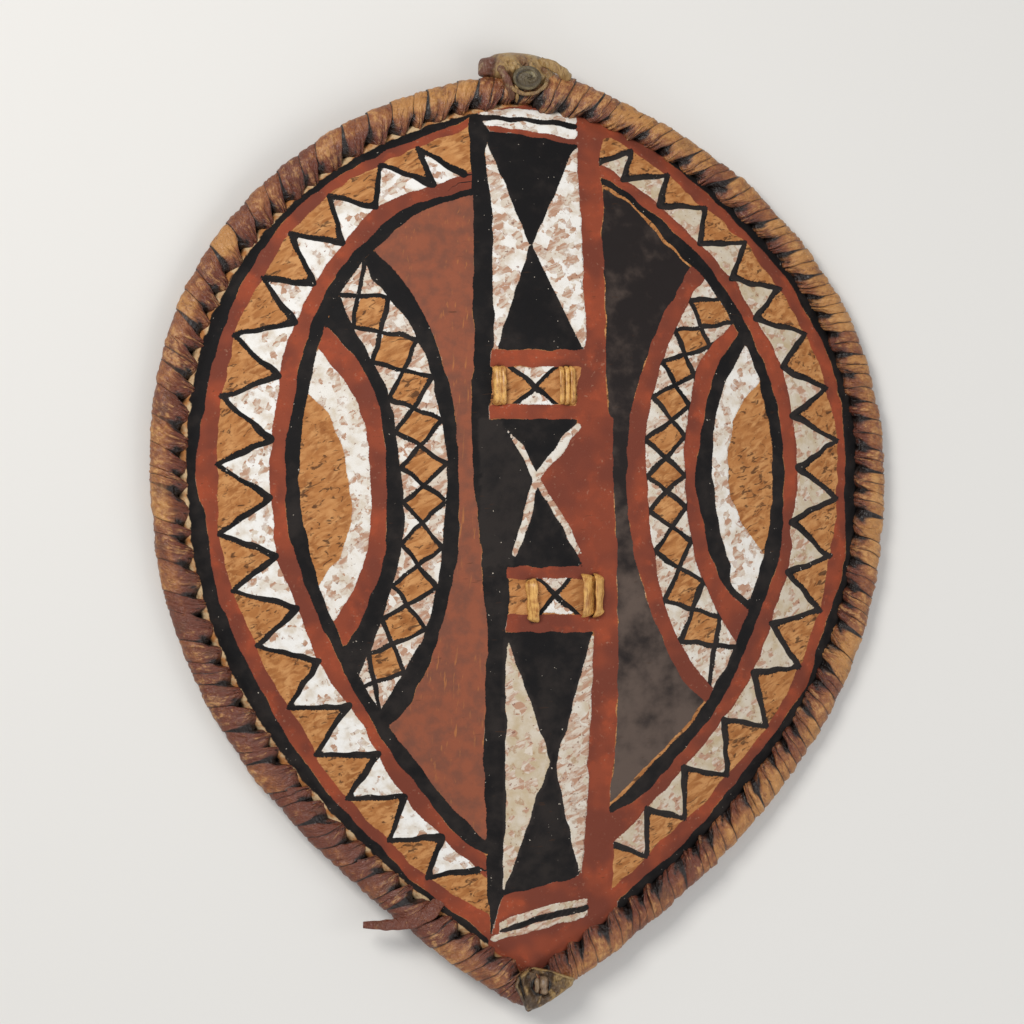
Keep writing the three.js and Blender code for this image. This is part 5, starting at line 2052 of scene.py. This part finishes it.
@dataclass
class LowerPatch(Fitted):
    """The stiff leather patch over the lower point, dished round a hole with a knotted thong in it."""

    corners: Points2 = ((-17, -463.5), (-13.2, -454.5), (0.5, -448.3), (15, -450), (38.8, -458.2), (35, -465.5),
                        (17.5, -477.5), (-3.2, -489.3))
    thickness: float = 4.0
    hole: tuple[float, float] = (7.5, -464.5)
    hole_radius: float = 8.5
    rings: int = 44
    sides: int = 120

    def cover(self) -> Shell:
        """A sheet over the roll between the outline and the hole: a thick ring, rolled up at its rim."""
        level = self.form.half_height + self.form.lower_lift[0]
        outline = rounded(np.array(self.corners, float), self.sides, 2, True)
        centre = np.array(self.hole)
        around = np.arctan2(outline[:, 1] - centre[1], outline[:, 0] - centre[0])
        inner = centre + self.hole_radius * 0.85 * np.column_stack([np.cos(around), np.sin(around)])
        share = np.linspace(0.0, 1.0, self.rings)[:, None, None]
        plan = inner[None] + (outline - inner)[None] * share
        distance, _ = self.form.rim_distance(plan.reshape(-1, 2))
        distance = distance.reshape(plan.shape[:2])
        out = distance / (self.form.half_width + 2.0)
        roll = self.form.half_height * np.sqrt(clamp(1.0 - out**2))
        s = share[..., 0]
        roll_height = level + roll + 1.6
        upper_side = smooth((plan[..., 1] + 470.0) / 14.0)
        left_side = smooth((-2.0 - plan[..., 0]) / 9.0)
        rim_roll = (1.0 + 2.2 * upper_side + 1.2 * left_side) * bell(s - 0.9, 0.11)
        dish = -4.5 * bell(s - 0.1, 0.34)
        flat = plan.reshape(-1, 2)
        rough = (0.7 * ripples(flat, 11.0, 61) + 0.35 * ripples(flat, 4.5, 62)).reshape(distance.shape)
        pleat = bell(plan[..., 0] + 9.0 + 0.25 * (plan[..., 1] + 470.0), 1.5) * left_side
        top = roll_height + self.thickness + rim_roll + dish + rough - 1.6 * pleat
        low = roll_height + dish * 0.6 + 0.4 * rim_roll
        upper = np.concatenate([plan, top[..., None]], axis=-1)
        under = np.concatenate([plan, low[..., None]], axis=-1)[::-1]
        # Painted shade round the hole and in the pleat; painted highlight on the rolled rim and its lumps and
        # towards the right side
        crease = 0.9 * bell(s, 0.16) + 0.8 * pleat
        crest = clamp(rim_roll / 3.0 + 0.2 * rough)
        tone = 0.2 + 0.35 * crest + 0.12 * rough + 0.25 * smooth((plan[..., 0] - 14.0) / 12.0)
        both = [np.concatenate([value + 0.0 * distance, (value + 0.0 * distance)[::-1]]).reshape(-1)
                for value in (crease, tone, crest)]
        return leathery(loft(np.concatenate([upper, under]), closed=True), *both)

    def knot(self) -> Shell:
        """Two thick thong ends that come up through the hole and curl against each other."""
        level = self.form.half_height + self.form.lower_lift[0] + 12.5
        x, y = self.hole
        strands = []
        for k, (side, height, width) in enumerate(((-1.0, 1.0, 2.9), (1.0, 3.6, 4.0))):
            corners = np.array([
                [x + side * 3.0, y + 7.0, level - 7.0], [x + side * 3.4, y + 4.5, level + height * 0.6],
                [x + side * 2.6, y - 0.5, level + height], [x + side * 3.6, y - 4.6, level + height * 0.5],
                [x + side * 2.4, y - 8.0, level - 7.0]])
            path = rounded(corners, 60, 4, False)
            up = unit(path - np.array([x, y, level - 8.0]))
            lumpy = 1.0 + 0.12 * ripples(path, 6.0, 66 + k)
            strands.append(strand(path, up, width * lumpy, (width - 0.6) * lumpy, 18, False, 0.12, 9 + k))
        return Shell.joined(strands)


# Studio


@dataclass(frozen=True)
class Studio:
    """A plain pale floor and soft lights."""

    floor_colour: Colour = Colour(222, 220, 216)
    floor_half: float = 6.0

    def add_floor(self) -> None:
        """A flat floor under the shield."""
        shader = Shader("studio_floor")
        shader.feed(shader.surface.inputs["Base Color"], self.floor_colour)
        shader.surface.inputs["Roughness"].default_value = 0.9
        h = self.floor_half
        mesh = bpy.data.meshes.new("studio_floor")
        mesh.from_pydata([(-h, -h, 0.0), (h, -h, 0.0), (h, h, 0.0), (-h, h, 0.0)], [], [(0, 1, 2, 3)])
        mesh.materials.append(shader.material)
        place_object("studio_floor", mesh)

    def add_light(self, name: str, place: Vector3, size: float, power: float,
                  colour: Vector3 = (1.0, 1.0, 1.0)) -> None:
        """A square soft light that looks at the shield.

        Args:
            name: Name of the light.
            place: Where it stands, in metres.
            size: Length of a side, in metres.
            power: Power, in watts.
            colour: Its red, green and blue.
        """
        data = bpy.data.lights.new(name, "AREA")
        data.size = size
        data.energy = power
        data.color = colour
        light = place_object(name, data)
        light.location = place
        light.rotation_euler = Vector(place).to_track_quat("Z", "Y").to_euler()

    def build(self) -> None:
        """Floor, three lights and an even sky."""
        self.add_floor()
        self.add_light("key_light", (-1.5, 1.3, 2.4), 1.1, 62.0, (1.0, 0.98, 0.95))
        self.add_light("fill_light", (2.0, -0.6, 2.2), 1.8, 22.0)
        self.add_light("low_light", (0.2, -2.4, 1.5), 1.5, 12.0)
        world = bpy.data.worlds.new("studio_sky")
        world.use_nodes = True
        background = world.node_tree.nodes["Background"]
        background.inputs["Color"].default_value = (0.9, 0.92, 0.95, 1.0)
        background.inputs["Strength"].default_value = 0.42
        bpy.context.scene.world = world


def main() -> None:
    """Builds the looks around the solids."""
    logging.basicConfig(level=logging.INFO, format="%(message)s")
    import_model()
    view = PhotoView()
    view.add_camera()
    form = ShieldForm()
    bpy.context.scene.view_settings.view_transform = "Standard"

    leather = BindingLeather().material()
    dirty = BindingLeather(
        "cap_leather", Colour(160, 128, 80), Colour(120, 92, 60), Colour(104, 62, 46), Colour(30, 22, 16),
        Colour(198, 176, 134), Colour(78, 68, 50)).material()
    stiff = BindingLeather(
        "patch_leather", Colour(154, 124, 78), Colour(104, 80, 54), Colour(72, 54, 37), Colour(24, 17, 12),
        Colour(176, 154, 110), Colour(74, 62, 44)).material()
    rawhide = Fibres().thong()
    wood = Fibres("stave_wood", Colour(146, 100, 58), Colour(84, 52, 30), Colour(52, 34, 22)).wood()
    grey = BindingLeather(
        "knot_leather", Colour(142, 130, 98), Colour(106, 94, 68), Colour(84, 72, 52), Colour(26, 21, 15),
        Colour(206, 196, 168), Colour(76, 70, 54)).material()
    knotted = Fibres("knotted_thong", Colour(146, 122, 96), Colour(92, 70, 52), Colour(50, 38, 28)).thong()
    upper = Lashing(form, -10.5, 69.5, 30.0, ((-3.0, 6.0), (3.0, 6.0), (0.2, 4.0)),
                    ((-4.6, 5.6), (0.2, 5.6), (4.8, 5.6)), half_length=16.0, seed=3)
    lower = Lashing(form, 16.5, -115.0, 28.0, ((0.0, 11.5), (0.6, 6.0)), ((-5.0, 15.0), (4.2, 11.0)), lean=-1.3,
                    left_drop=4.0, half_length=17.5, seed=13)
    rim = RimBinding(form)
    cap = UpperCap(form)
    patch = LowerPatch(form)

    sculptor = Sculptor()
    hide = PaintedHide(form).shell(view, PaintedPattern(), [upper, lower], rim)
    sculptor.add("painted_hide", hide, [PaintedFace().material(), RawHide().material()], "painted_hide",
                 ("hide_shell",))
    sculptor.add("rim_roll", rim.shell(), [leather], "rim_leather", ("rim_binding",))
    sculptor.add("binding_tail", BindingTail(form).shell(), [leather], "rim_leather", ())
    sculptor.add("stave", GripStave(form).shell(upper, lower), [wood], "stave_wood", ("grip_stave",))
    sculptor.add("upper_lashing", upper.shell(), [rawhide], "rawhide_thong", ("upper_grip_lashing",))
    sculptor.add("lower_lashing", lower.shell(), [rawhide], "rawhide_thong", ("lower_grip_lashing",))
    sculptor.add("cap_cover", cap.cover(), [dirty], "cap_leather", ("upper_end_cap",))
    sculptor.add("cap_knot", cap.knot(), [grey], "cap_leather", ("upper_end_knot",))
    sculptor.add("point_patch", patch.cover(), [stiff], "cap_leather", ("lower_end_patch",))
    sculptor.add("point_knot", patch.knot(), [knotted], "rawhide_thong", ("lower_end_knot",))

    Studio().build()


if __name__ == "__main__":
    main()
